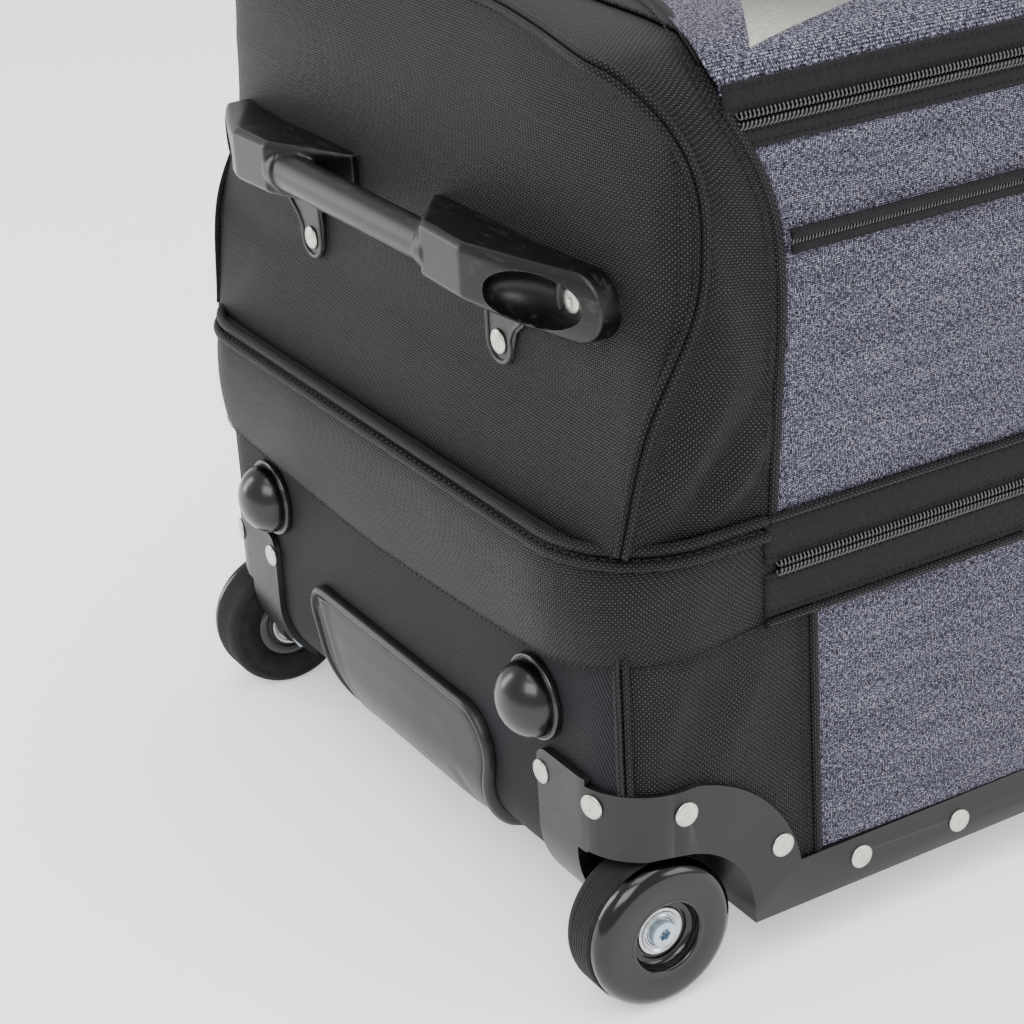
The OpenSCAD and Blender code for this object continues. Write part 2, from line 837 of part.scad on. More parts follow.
// A pull tab that hangs from the slider's bridge
module pull(x, y, z, s, t) {
    w = 4.6;
    scale_y(s) translate([x, y + t / 2 + 3.5, z]) difference() {
        union() {
            box([-w, 1.85, -30], [w, 3.35, -3.6]);
            for (a = [-1, 1]) box([a * 5.9 - 1, -0.75, -6], [a * 5.9 + 1, 0.75, 0.75]);
            box([-6.9, -0.75, -6], [6.9, 3.35, -3.6]);
            box([-6, -0.75, -0.75], [6, 0.75, 0.75]);
        }
        translate([0, 0, -24]) rotate([-90, 0, 0]) cylinder(h = 20, r = 2.4, $fn = 32, center = true);
    }
}

deck_slider_at = [zip_start + 12, half_w - tape_t / 2, split_z];
lid_slider_at = [lid_x + 18, upper_w - tape_t / 2, lid_zip_z];
pocket_slider_at = [body_len - gusset_x - 52, upper_w + 2.9, pocket_z];

module zip_slider(at) {
    color([0.2, 0.2, 0.2]) slider(at[0], at[1], at[2], 1, row_t);
}

module zip_pull(at) {
    color([0.2, 0.2, 0.2]) pull(at[0], at[1], at[2], 1, row_t);
}

module pocket_zip_slider() {
    at = pocket_slider_at;
    color([0.2, 0.2, 0.2]) scale_y(-1) translate(at) union() {
        box([-7, 0, -4], [7, 1.6, 4]);
        bridge(1.6);
    }
}

module pocket_zip_pull() {
    at = pocket_slider_at;
    color([0.2, 0.2, 0.2]) scale_y(-1) pull(at[0], at[1] - row_t / 2 - 0.2, at[2], 1, row_t);
}

// ---- nodes ----

place() bottom_panel();
place() base_board();
place() ball_tray();
place() lower_side(1);  // lower_side_left
place() lower_side(-1);  // lower_side_right
place() lower_end(false);  // lower_end_wheel
place() lower_end(true);  // lower_end_far
place() lower_gussets();
place() hinge_band_lower();
place() deck_zip_lower();
place() wheel_housing(1);  // wheel_housing_left
place() wheel_housing(-1);  // wheel_housing_right
place() corner_foot(1);  // corner_foot_left
place() corner_foot(-1);  // corner_foot_right
place() kick_plate();
place() bumper_domes();
place() base_rivets();
place() handle_bezel();
place() outer_tubes();
place() axle_bolt(1);  // axle_bolt_left
place() axle_bolt(-1);  // axle_bolt_right
place() axle_nuts();
place() bearing_inner(1);  // bearing_inner_left
place() bearing_inner(-1);  // bearing_inner_right
place() bearing_spacers();
place() tyre(1);  // tyre_left
place() tyre(-1);  // tyre_right
place() hub(1);  // hub_left
place() hub(-1);  // hub_right
place() bearing_outer(1);  // bearing_outer_left
place() bearing_outer(-1);  // bearing_outer_right
place() inner_tubes();
place() grip_shell();
place() release_button();
place() release_yoke();
place() upper_side(1);  // upper_side_left
place() upper_side(-1);  // upper_side_right
place() upper_end(false);  // upper_end_wheel
place() upper_end(true);  // upper_end_far
place() upper_gusset(false);  // upper_gusset_wheel
place() upper_gusset(true);  // upper_gusset_far
place() divider_panel();
place() hinge_band_upper();
place() deck_zip_upper();
place() lid_zip_lower();
place() pocket_zip();
place() grab_handle();
place() grab_handle_rivets();
place() strap_anchors();
place() carry_strap(1);  // carry_strap_left
place() carry_strap(-1);  // carry_strap_right
place() lid_panel();
place() lid_zip_upper();
place() zip_slider(deck_slider_at);  // deck_zip_slider
place() zip_pull(deck_slider_at);  // deck_zip_pull
place() zip_slider(lid_slider_at);  // lid_zip_slider
place() zip_pull(lid_slider_at);  // lid_zip_pull
place() pocket_zip_slider();
place() pocket_zip_pull();
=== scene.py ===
import math

import bmesh
import bpy
import numpy as np
from mathutils import Matrix, Vector


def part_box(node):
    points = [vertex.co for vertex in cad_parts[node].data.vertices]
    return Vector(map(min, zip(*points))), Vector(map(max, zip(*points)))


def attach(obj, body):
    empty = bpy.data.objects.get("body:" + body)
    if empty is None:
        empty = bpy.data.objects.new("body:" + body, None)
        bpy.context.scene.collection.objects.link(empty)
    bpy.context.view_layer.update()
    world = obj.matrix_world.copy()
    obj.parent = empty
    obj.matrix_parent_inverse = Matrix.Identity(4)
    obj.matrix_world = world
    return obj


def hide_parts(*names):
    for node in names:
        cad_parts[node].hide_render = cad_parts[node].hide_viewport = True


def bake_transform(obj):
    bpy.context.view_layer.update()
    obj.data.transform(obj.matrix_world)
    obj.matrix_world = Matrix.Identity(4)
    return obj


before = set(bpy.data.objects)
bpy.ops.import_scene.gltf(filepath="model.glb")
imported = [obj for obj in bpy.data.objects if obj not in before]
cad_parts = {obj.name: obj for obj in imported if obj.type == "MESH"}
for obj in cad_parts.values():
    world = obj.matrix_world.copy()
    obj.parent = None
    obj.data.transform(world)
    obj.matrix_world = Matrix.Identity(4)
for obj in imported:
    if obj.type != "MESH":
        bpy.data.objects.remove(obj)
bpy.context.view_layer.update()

# ---------------------------------------------------------------- sizes
# Lengths are millimetres along the bag from the outer face of the wheel end, up from the floor,
# and out from the centre line. MM and START bring them into the frame.

MM = 0.001
ENDS = ((False, "wheel"), (True, "far"))
SIDES = (("left", 1), ("right", -1))
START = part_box("wheel_housing_right")[0].x / MM


def reach(node, end, axis):
    """Where a node begins (end 0) or ends (end 1) along an axis, in bag millimetres."""
    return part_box(node)[end][axis] / MM - (START if axis == 0 else 0)


BODY = reach("lower_end_far", 1, 0) + reach("lower_end_wheel", 0, 0)
HALF = reach("lower_side_left", 1, 1)
TOP = reach("lid_panel", 1, 2)
FLOOR = reach("bottom_panel", 0, 2)
SPLIT = (reach("deck_zip_lower", 1, 2) + reach("deck_zip_upper", 0, 2)) / 2
BAND_LOW = reach("hinge_band_lower", 0, 2)
BAND_HIGH = reach("hinge_band_upper", 1, 2)
ZIP_START = reach("deck_zip_lower", 0, 0)
LID_START = reach("lid_panel", 0, 0)
LID_ZIP_LINE = 371.5
LID_ZIP_END = 668.0
POCKET_ZIP = (reach("pocket_zip", 0, 2) + reach("pocket_zip", 1, 2)) / 2
UNDER = 40.0
SHOULDER = 24.0
PLAN_CORNER = 30.0
CENTRE = np.array([BODY / 2, 0, TOP / 2])
STEP = 4.5

# Seams of the upper deck at the wheel end, from the hinge band up one side and over to the
# middle of the top: end panel to gusset, then gusset to the coloured side and lid
END_SEAM = [(10, 179, 209), (19, 186, 259), (40, 187.5, 300), (45, 187.5, 327), (43, 187, 353),
            (33, 184.5, 375), (22, 172, 391), (16, 157, 397), (25, 110, 399), (33, 61, 399.5), (35, 0, 400)]
SIDE_SEAM = [(77, 186, 209), (79, 187.5, 258), (81, 188, 299), (78, 188, 333), (68, 187, 359),
             (56, 183, 381), (58, 165, 394), (69, 135, 398), (78, 102, 399), (80, 50, 400), (80, 0, 400)]
SHOULDER_KNOT = 7

# ---------------------------------------------------------------- shader kit


def tone(red, green, blue):
    """A display colour, 0 to 255, as the linear colour that a shader takes."""
    return tuple((c / 255) ** 2.2 for c in (red, green, blue)) + (1.0,)


class Socket:
    """One output of a finish's nodes that can be used in arithmetic."""

    def __init__(self, finish, out):
        self.finish = finish
        self.out = out

    def math(self, operation, *others):
        return self.finish.node("ShaderNodeMath", {"operation": operation}, self, *others)

    def __add__(self, other):
        return self.math("ADD", other)

    __radd__ = __add__

    def __sub__(self, other):
        return self.math("SUBTRACT", other)

    def __rsub__(self, other):
        return self.finish.node("ShaderNodeMath", {"operation": "SUBTRACT"}, other, self)

    def __mul__(self, other):
        return self.math("MULTIPLY", other)

    __rmul__ = __mul__

    def __pow__(self, other):
        return self.math("POWER", other)

    def __abs__(self):
        return self.math("ABSOLUTE")

    def sin(self):
        return self.math("SINE")

    def held(self):
        """Kept between 0 and 1."""
        return self.math("MAXIMUM", 0.0).math("MINIMUM", 1.0)

    def band(self, low, high):
        """0 below low, rising to 1 at high."""
        return ((self - low) * (1 / (high - low))).held()


class Finish:
    """A material: a Principled shader and the nodes that feed it."""

    def __init__(self, name, **constants):
        self.material = bpy.data.materials.new(name)
        self.material.use_nodes = True
        self.tree = self.material.node_tree
        self.shader = self.tree.nodes["Principled BSDF"]
        for key, value in constants.items():
            self.shader.inputs[key.replace("_", " ").title().replace("Ior", "IOR")].default_value = value

    def node(self, kind, settings, *values, output=None, **named):
        made = self.tree.nodes.new(kind)
        for key, value in settings.items():
            if key == "stops":
                self.set_stops(made.color_ramp, value)
            else:
                setattr(made, key, value)
        live = [s for s in made.inputs if s.enabled]
        pairs = list(zip(live, values))
        pairs += [(next(s for s in live if s.name == key), value) for key, value in named.items()]
        for target, value in pairs:
            self.feed(target, value)
        outs = [s for s in made.outputs if s.enabled]
        return Socket(self, outs[0] if output is None else made.outputs[output])

    def set_stops(self, ramp, stops):
        while len(ramp.elements) < len(stops):
            ramp.elements.new(0.5)
        for element, (place, colour) in zip(ramp.elements, stops):
            element.position = place
            element.color = colour

    def feed(self, target, value):
        if isinstance(value, Socket):
            self.tree.links.new(value.out, target)
        else:
            target.default_value = value

    def place(self):
        """Position on the bag in metres."""
        return self.node("ShaderNodeTexCoord", {}, output="Object")

    def cloth(self):
        """Position on the cut cloth in metres, as a vector."""
        return self.node("ShaderNodeAttribute", {"attribute_name": "cloth"}, output="Vector")

    def split(self, vector):
        """The x, y and z of a vector."""
        made = self.node("ShaderNodeSeparateXYZ", {}, vector)
        return tuple(Socket(self, out) for out in made.out.node.outputs)

    def stretch(self, vector, x, y, z=1.0):
        return self.node("ShaderNodeVectorMath", {"operation": "MULTIPLY"}, vector, (x, y, z))

    def noise(self, vector, scale, detail=2.0, rough=0.5):
        return self.node("ShaderNodeTexNoise", {}, vector, Scale=scale, Detail=detail, Roughness=rough)

    def mix(self, factor, first, second):
        return self.node("ShaderNodeMix", {"data_type": "RGBA"}, factor, first, second)

    def finish(self, colour, roughness, height=None, depth=0.0002, strength=1.0):
        inputs = self.shader.inputs
        self.feed(inputs["Base Color"], colour)
        self.feed(inputs["Roughness"], roughness)
        if height is not None:
            bump = self.node("ShaderNodeBump", {}, Strength=strength, Distance=depth, Height=height)
            self.feed(inputs["Normal"], bump)
        return self


def plain_weave(u, v, pitch):
    """Height of a plain weave, 0 to 1, and 1 where the crossways thread is on top."""
    across = (u * (math.pi / pitch)).sin()
    along = (v * (math.pi / pitch)).sin()
    over = (across * along * 3.0 + 0.5).held()
    crossways = abs(along) * (abs(across) * 0.6 + 0.4)
    lengthways = abs(across) * (abs(along) * 0.6 + 0.4)
    return crossways * over + lengthways * (1.0 - over), over


def ballistic_nylon(name):
    """Coarse black bag nylon: each thread painted bright on its crown as a highlight and near black in the
    gaps as painted shade.
    """
    f = Finish(name, sheen_weight=0.02, sheen_roughness=0.4, specular_ior_level=0.16)
    cloth = f.cloth()
    u, v, _ = f.split(cloth)
    pitch = 0.00112
    height, over = plain_weave(u, v, pitch)
    weft = f.noise(f.stretch(cloth, 60, 1 / pitch), 1.0)
    warp = f.noise(f.stretch(cloth, 1 / pitch, 60), 1.0)
    thread = weft * over + warp * (1.0 - over)
    cloudy = f.noise(cloth, 22, 3.0)
    # Painted light: the crown height paints a highlight on each thread and painted shade in the gaps, and
    # the over term paints the crossways threads lighter, as if they catch more light. The thread and cloudy
    # noise are the yarn's own tone.
    shade = (height ** 1.8) * (thread * 1.1 + 0.2) * (cloudy * 0.5 + 0.75) * (over * 0.85 + 0.15)
    colour = f.mix(shade.held(), tone(4, 4, 5), tone(68, 68, 74))
    return f.finish(colour, 0.6 - height * 0.18, height, 0.0005)


def ribbed_nylon(name):
    """Fine black twill of the lower end panel, its ribs leaning across the cloth."""
    f = Finish(name, sheen_weight=0.01, sheen_roughness=0.5, specular_ior_level=0.14)
    cloth = f.cloth()
    u, v, _ = f.split(cloth)
    rib = ((u * 0.9 + v * 0.42) * (2 * math.pi / 0.0016)).sin() * 0.5 + 0.5
    bead = ((v * 0.9 - u * 0.42) * (2 * math.pi / 0.0012)).sin() * 0.5 + 0.5
    height = rib * (bead * 0.35 + 0.65)
    cloudy = f.noise(cloth, 26, 3.0)
    colour = f.mix((height * (cloudy * 0.7 + 0.6)).held(), tone(8, 8, 9), tone(45, 45, 50))
    return f.finish(colour, 0.7 - height * 0.1, height, 0.00025)


def heather_base(f, cloth):
    """Two-tone canvas: pale and slate threads crossing. Returns its colour and height."""
    u, v, _ = f.split(cloth)
    pitch = 0.0008
    height, over = plain_weave(u, v, pitch)
    weft = f.noise(f.stretch(cloth, 420, 1.7 / pitch), 1.0, 1.5, 0.6)
    warp = f.noise(f.stretch(cloth, 1.7 / pitch, 420), 1.0, 1.5, 0.6)
    thread = weft * over + warp * (1.0 - over)
    slub = f.noise(f.stretch(cloth, 18, 150), 1.0, 2.0) - 0.5
    shade = (thread - 0.5) * 3.4 + 0.41 + slub * 0.3 + (height - 0.5) * 0.6
    stops = [(0.0, tone(20, 20, 28)), (0.35, tone(54, 53, 64)),
             (0.65, tone(88, 87, 100)), (1.0, tone(150, 149, 164))]
    return f.node("ShaderNodeValToRGB", {"stops": stops}, shade.held()), height


def heather_canvas(name):
    """The grey side cloth: plain heather canvas."""
    f = Finish(name, sheen_weight=0.02, sheen_roughness=0.5, specular_ior_level=0.12)
    cloth = f.cloth()
    colour, height = heather_base(f, cloth)
    return f.finish(colour, 0.82 - height * 0.05, height, 0.00025)


# Wedges of the lid's print in cloth millimetres (along, across): corners in order
PRINT_WEDGES = [
    [(12, -178), (96, -160), (150, -96), (48, -118)],
    [(8, -84), (70, -72), (205, 10), (60, -30)],
    [(150, -172), (262, -150), (236, -92), (178, -120)],
    [(222, -70), (330, -88), (420, -8), (270, -18)],
    [(20, 30), (160, 48), (120, 128), (44, 92)],
    [(200, 62), (352, 40), (312, 150), (228, 128)],
    [(392, -150), (520, -118), (476, -40), (420, -92)],
    [(410, 60), (560, 20), (520, 130), (430, 150)],
]


def wedge_mask(u, v, corners):
    """1 inside the convex shape whose corners these are, cut clean at its edges."""
    area = sum(a[0] * b[1] - b[0] * a[1] for a, b in zip(corners, corners[1:] + corners[:1]))
    mask = None
    for (x0, y0), (x1, y1) in zip(corners, corners[1:] + corners[:1]):
        turn = 1 if area > 0 else -1
        length = math.hypot(x1 - x0, y1 - y0)
        nx = -(y1 - y0) / length * turn
        ny = (x1 - x0) / length * turn
        inside = (u * nx + v * ny - (x0 * nx + y0 * ny) * MM).band(-0.0003, 0.0003)
        mask = inside if mask is None else mask * inside
    return mask


def printed_canvas(name):
    """Heather canvas with a pale angular print, each wedge paler along one edge."""
    f = Finish(name, sheen_weight=0.02, sheen_roughness=0.5, specular_ior_level=0.12)
    cloth = f.cloth()
    u, v, _ = f.split(cloth)
    colour, height = heather_base(f, cloth)
    grain = f.noise(f.stretch(cloth, 260, 900), 1.0, 3.0)
    fade = ((u * 0.6 + v) * 42).sin() * 0.5 + 0.5
    pale = f.mix(fade, tone(176, 174, 164), tone(112, 110, 106))
    pale = f.mix(grain.band(0.35, 0.75) * 0.45, pale, tone(84, 82, 80))
    for corners in PRINT_WEDGES:
        colour = f.mix(wedge_mask(u, v, corners), colour, pale)
    return f.finish(colour, 0.8 - height * 0.05, height, 0.00022)


def ribbed_webbing(name, light=(48, 48, 52)):
    """Woven strap: ribs along its length, each a column of small chevrons."""
    f = Finish(name, sheen_weight=0.02, sheen_roughness=0.4, specular_ior_level=0.18)
    cloth = f.cloth()
    u, v, _ = f.split(cloth)
    rib = abs((v * (math.pi / 0.0022)).sin())
    chevron = abs(((u + rib * 0.0006) * (math.pi / 0.0011)).sin())
    height = rib * (chevron * 0.5 + 0.5)
    colour = f.mix((height * (f.noise(cloth, 90) * 0.8 + 0.6)).held(), tone(6, 6, 7), tone(*light))
    return f.finish(colour, 0.66 - height * 0.1, height, 0.0003)


def zip_tape_finish(name):
    """Tight black tape with a fine herringbone."""
    f = Finish(name, sheen_weight=0.02, sheen_roughness=0.4, specular_ior_level=0.14)
    cloth = f.cloth()
    u, v, _ = f.split(cloth)
    leg = abs((v * (math.pi / 0.004)).sin())
    line = ((u + leg * 0.0012) * (2 * math.pi / 0.0010)).sin() * 0.5 + 0.5
    colour = f.mix((line * 0.6 + f.noise(cloth, 300) * 0.5).held(), tone(6, 6, 7), tone(36, 36, 39))
    return f.finish(colour, 0.7 - line * 0.08, line, 0.00015)


def lining_cloth(name):
    """Smooth black lining: a fine square weave with a slight shine."""
    f = Finish(name, sheen_weight=0.02, specular_ior_level=0.2)
    cloth = f.cloth()
    u, v, _ = f.split(cloth)
    height, _ = plain_weave(u, v, 0.0007)
    colour = f.mix(height * (f.noise(cloth, 30, 3.0) * 0.8 + 0.6), tone(12, 12, 14), tone(40, 40, 45))
    return f.finish(colour, 0.5 - height * 0.08, height, 0.00012)


def moulded(name, colour, worn, roughness, speckle=900, gloss=0.0, scuffs=0.35, shine=0.3):
    """Moulded plastic: fine mould grain, faint scuffs, and edges rubbed paler."""
    f = Finish(name, specular_ior_level=shine, coat_roughness=0.12)
    place = f.place()
    edge = f.node("ShaderNodeNewGeometry", {}, output="Pointiness").band(0.515, 0.6)
    grain = f.noise(place, speckle, 3.0, 0.6)
    scuff = f.noise(f.stretch(place, 260, 60, 260), 1.0, 4.0, 0.65).band(0.56, 0.72)
    cloudy = f.noise(place, 16, 3.0)
    wear = (edge * 0.7 + scuff * scuffs * cloudy).held()
    shade = f.mix(wear, tone(*colour), tone(*worn))
    shade = f.mix(cloudy * 0.35, shade, tone(*(c * 0.72 for c in colour)))
    f.feed(f.shader.inputs["Coat Weight"], gloss)
    return f.finish(shade, cloudy * 0.14 + roughness - edge * 0.06 + scuff * 0.08, grain, 0.00006, 0.6)


def metal(name, colour, roughness, scale=500, brushed=(1.0, 1.0, 1.0)):
    """Bare metal: fine brushing, small stains in the hollows."""
    f = Finish(name, metallic=1.0)
    place = f.place()
    brush = f.noise(f.stretch(place, *brushed), scale, 4.0, 0.7)
    stain = f.noise(place, 140, 3.0).band(0.5, 0.75)
    shade = f.mix(brush * 0.35, tone(*colour), tone(*(c * 0.7 for c in colour)))
    shade = f.mix(stain * 0.3, shade, tone(*(c * 0.55 for c in colour)))
    return f.finish(shade, brush * 0.16 + roughness + stain * 0.08, brush, 0.00003, 0.5)


def tread_rubber(name):
    """Matt dark rubber with fine turned lines."""
    f = Finish(name, specular_ior_level=0.2)
    place = f.place()
    _, y, _ = f.split(place)
    line = (y * (2 * math.pi / 0.0009)).sin() * 0.5 + 0.5
    dust = f.noise(place, 120, 4.0, 0.65)
    colour = f.mix(dust.band(0.35, 0.8) * 0.6 + line * 0.12, tone(20, 20, 20), tone(50, 48, 46))
    return f.finish(colour, dust * 0.2 + 0.62, line * 0.6 + dust * 0.4, 0.00012)


def grained_board(name, colour, dark, scale):
    """Pressed board or foam: a speckled, slightly soft surface."""
    f = Finish(name, specular_ior_level=0.25)
    place = f.place()
    fleck = f.noise(place, scale, 4.0, 0.75)
    cells = f.node("ShaderNodeTexVoronoi", {}, place, Scale=scale * 1.5)
    colour = f.mix((fleck * 1.3 - 0.15).held(), tone(*dark), tone(*colour))
    return f.finish(colour, fleck * 0.1 + 0.8, cells * 0.7 + fleck * 0.5, 0.0003)


BLACK_CLOTH = ballistic_nylon("black_bag_nylon")
END_CLOTH = ribbed_nylon("ribbed_end_nylon")
GREY_CLOTH = heather_canvas("heather_canvas")
LID_CLOTH = printed_canvas("printed_lid_canvas")
LINING = lining_cloth("black_lining")
WEBBING = ribbed_webbing("ribbed_webbing")
THREAD = ribbed_webbing("sewing_thread", (58, 58, 63))
TAPE = zip_tape_finish("zip_tape")
COIL = moulded("zip_coil_nylon", (9, 9, 10), (60, 60, 64), 0.16, 400, 0.5, 0.1, 0.5)
HOUSING = moulded("housing_plastic", (13, 13, 15), (62, 62, 66), 0.34, 1100, 0.0, 0.25, 0.34)
HANDLE = moulded("handle_plastic", (11, 12, 13), (98, 97, 96), 0.3, 900, 0.0, 0.35, 0.32)
PLATE = moulded("kick_plate_plastic", (11, 12, 13), (70, 70, 73), 0.32, 900, 0.0, 0.25, 0.34)
DOME = moulded("dome_rubber", (11, 12, 13), (60, 60, 63), 0.2, 700, 0.15, 0.2, 0.4)
WHEEL_FACE = moulded("wheel_face_plastic", (5, 5, 6), (50, 49, 48), 0.1, 600, 0.2, 0.2, 0.34)
TREAD = tread_rubber("tread_rubber")
RIVET = metal("nickel_rivet", (205, 203, 195), 0.3, 900)
BEARING = metal("bearing_steel", (190, 192, 195), 0.2, 700)
ZINC = metal("zinc_bolt", (180, 196, 208), 0.22, 500)
TUBE = metal("drawn_aluminium", (186, 188, 192), 0.28, 300, (0.05, 1.0, 1.0))
SLIDER = metal("blackened_zinc", (50, 50, 54), 0.3, 700)
FOAM = grained_board("grey_foam", (92, 92, 96), (44, 44, 48), 500)
BOARD = grained_board("pressed_board", (62, 58, 54), (30, 28, 26), 260)

# ---------------------------------------------------------------- curves and grids


def spline(knots, per_knot=16):
    """Smooth curve through the knots, with per_knot points for each stretch."""
    k = np.asarray(knots, float)
    k = np.vstack([2 * k[0] - k[1], k, 2 * k[-1] - k[-2]])
    t = np.linspace(0, 1, per_knot, endpoint=False)[:, None]
    parts = []
    for a, b, c, d in zip(k, k[1:], k[2:], k[3:]):
        parts.append(0.5 * (2 * b + (c - a) * t + (2 * a - 5 * b + 4 * c - d) * t ** 2
                            + (3 * b - a - 3 * c + d) * t ** 3))
    return np.vstack(parts + [k[-2:-1]])


def lengths(path):
    """Distance along the path at each of its points."""
    return np.concatenate([[0], np.cumsum(np.linalg.norm(np.diff(path, axis=0), axis=1))])


def even(path, step):
    """The same path with points about step apart."""
    path = np.asarray(path, float)
    s = lengths(path)
    count = max(2, int(round(s[-1] / step)) + 1)
    t = np.linspace(0, s[-1], count)
    return np.stack([np.interp(t, s, path[:, i]) for i in range(path.shape[1])], axis=1)


def mirror_over(path):
    """A half path ending on the centre line, continued down the other side."""
    other = path[-2::-1] * (1, -1, 1)
    return np.vstack([path, other])


def unit(v):
    return v / (np.linalg.norm(v, axis=-1, keepdims=True) + 1e-12)


def cloth_of(grid):
    """Cloth millimetres of each grid point, measured along the rows and the columns."""
    along = np.cumsum(np.linalg.norm(np.diff(grid, axis=1, prepend=grid[:, :1]), axis=2), axis=1)
    up = np.cumsum(np.linalg.norm(np.diff(grid, axis=0, prepend=grid[:1]), axis=2), axis=0)
    middle = along[:, along.shape[1] // 2][:, None]
    return np.stack([along - middle, up], axis=2)


def outward(grid):
    """Unit normals of a grid, pointing away from the inside of the bag."""
    n = unit(np.cross(np.gradient(grid, axis=1), np.gradient(grid, axis=0)))
    return -n if np.sum(n * (grid - CENTRE)) < 0 else n


def drape(grid, height):
    """The grid moved out by height, a number or one value for each point."""
    return grid + outward(grid) * np.asarray(height)[..., None]


def folds(grid, creases):
    """Height of soft creases over a grid: each runs from a to b, with a width and a height."""
    height = np.zeros(grid.shape[:2])
    for a, b, width, size in creases:
        a, b = np.array(a, float), np.array(b, float)
        t = np.clip(((grid - a) @ (b - a)) / np.sum((b - a) ** 2), 0, 1)
        gap = np.linalg.norm(grid - (a + t[..., None] * (b - a)), axis=2)
        height += size * np.exp(-(gap / width) ** 2) * np.sin(np.pi * (0.12 + 0.76 * t))
    return height


def hand(grid, size, seed=0.0):
    """Slow uneven waves, as stiff cloth has in the hand."""
    x, y, z = (grid[..., i] for i in range(3))
    waves = (np.sin(x / 31 + y / 53 + seed) + np.sin(z / 27 - y / 41 + 2 * seed)
             + 0.6 * np.sin(x / 17 - z / 23 + 3 * seed) + 0.5 * np.sin(y / 19 + z / 47 + seed))
    return size * waves / 3.1


def edge_fade(grid, margin=3):
    """0 on the border of a grid, 1 inside, so neighbours still meet."""
    rows, cols = grid.shape[:2]
    r = np.minimum(np.arange(rows), np.arange(rows)[::-1])[:, None] / margin
    c = np.minimum(np.arange(cols), np.arange(cols)[::-1])[None, :] / margin
    return np.clip(r, 0, 1) * np.clip(c, 0, 1)


def grid_faces(rows, cols, round_cols=False):
    """Four-sided faces of a grid of points, closed across its columns where it is round."""
    r = np.arange(rows - 1)[:, None]
    c = np.arange(cols if round_cols else cols - 1)[None, :]
    r1, c1 = r + 1, (c + 1) % cols
    quads = np.stack([r * cols + c, r * cols + c1, r1 * cols + c1, r1 * cols + c], axis=2)
    return quads.reshape(-1, 4).tolist()


# ---------------------------------------------------------------- making pieces


def mark_cloth(mesh, flat):
    """Keeps each point's place on the cut cloth, in metres, for the weave to follow."""
    spread = np.zeros((len(flat), 3), np.float32)
    spread[:, :2] = flat
    mesh.attributes.new("cloth", "FLOAT_VECTOR", "POINT").data.foreach_set("vector", spread.ravel())


def dress(mesh, *finishes):
    """Smooth faces and nothing but these finishes."""
    mesh.polygons.foreach_set("use_smooth", [True] * len(mesh.polygons))
    mesh.materials.clear()
    for finish in finishes:
        mesh.materials.append(finish.material)


def add_object(name, data):
    obj = bpy.data.objects.new(name, data)
    bpy.context.scene.collection.objects.link(obj)
    return obj


def points_of(mesh):
    return np.array([v.co for v in mesh.vertices])


def move_points(mesh, points):
    mesh.vertices.foreach_set("co", points.astype(np.float32).ravel())


def piece(name, points, faces, finish, body, cloth=None, replaces=(), lining=None):
    """A mesh piece in bag millimetres, placed in the frame and riding on a body.

    It is a closed solid, unless it has a lining: then it is one face of a panel.
    """
    points = np.asarray(points, float).reshape(-1, 3)
    mesh = bpy.data.meshes.new(name)
    mesh.from_pydata(((points + (START, 0, 0)) * MM).tolist(), [], faces)
    mark_cloth(mesh, (points[:, :2] if cloth is None else np.asarray(cloth).reshape(-1, 2)) * MM)
    if lining is None:
        bm = bmesh.new()
        bm.from_mesh(mesh)
        bmesh.ops.remove_doubles(bm, verts=bm.verts, dist=0.01 * MM)
        bmesh.ops.recalc_face_normals(bm, faces=bm.faces)
        bm.to_mesh(mesh)
        bm.free()
    dress(mesh, *([finish] if lining is None else [finish, lining]))
    obj = add_object(name, mesh)
    if body is not None:
        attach(obj, body)
    if replaces:
        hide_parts(*replaces)
    return obj


def shaped(name, shape, finish, body, replaces=()):
    """A piece from a shape: its points, faces and cloth."""
    points, faces, cloth = shape
    return piece(name, points, faces, finish, body, cloth, replaces)


def panel(name, grid, finish, body, replaces=(), thick=1.3, cloth=None, keep=None):
    """A cloth panel from a grid of points, with its thickness inwards and lining behind."""
    rows, cols = grid.shape[:2]
    faces = grid_faces(rows, cols)
    if keep is not None:
        kept = keep(grid.reshape(-1, 3)[np.array(faces)].mean(axis=1))
        faces = [f for f, k in zip(faces, kept) if k]
    n = np.cross(np.gradient(grid, axis=1), np.gradient(grid, axis=0))
    if np.sum(unit(n) * outward(grid)) < 0:
        faces = [f[::-1] for f in faces]
    cloth = cloth_of(grid) if cloth is None else cloth
    obj = piece(name, grid, faces, finish, body, cloth, replaces, LINING)
    skin = obj.modifiers.new("thickness", "SOLIDIFY")
    skin.thickness = thick * MM
    skin.offset = -1
    skin.material_offset = 1
    return obj


def frames(path, normals):
    """Tangent, normal and side of each point of a path."""
    t = unit(np.gradient(path, axis=0))
    n = normals - t * np.sum(normals * t, axis=1, keepdims=True)
    n = unit(n)
    return t, n, np.cross(t, n)


def swept(path, normals, section):
    """Points, faces and cloth of a section, pairs of (side, out), carried along a path."""
    _, n, b = frames(path, normals)
    section = np.asarray(section, float)
    points = path[:, None] + b[:, None] * section[None, :, :1] + n[:, None] * section[None, :, 1:]
    rows, cols = points.shape[:2]
    faces = grid_faces(rows, cols, True)
    faces += [list(range(cols))[::-1], [(rows - 1) * cols + i for i in range(cols)]]
    around = lengths(np.vstack([section, section[:1]]))[:-1]
    s = lengths(path)
    cloth = np.stack(np.broadcast_arrays(s[:, None], around[None, :]), axis=2)
    return points.reshape(-1, 3), faces, cloth.reshape(-1, 2)


def round_section(width, height, sides=10):
    a = np.arange(sides) * 2 * math.pi / sides
    return np.stack([np.cos(a) * width / 2, np.sin(a) * height / 2], axis=1)


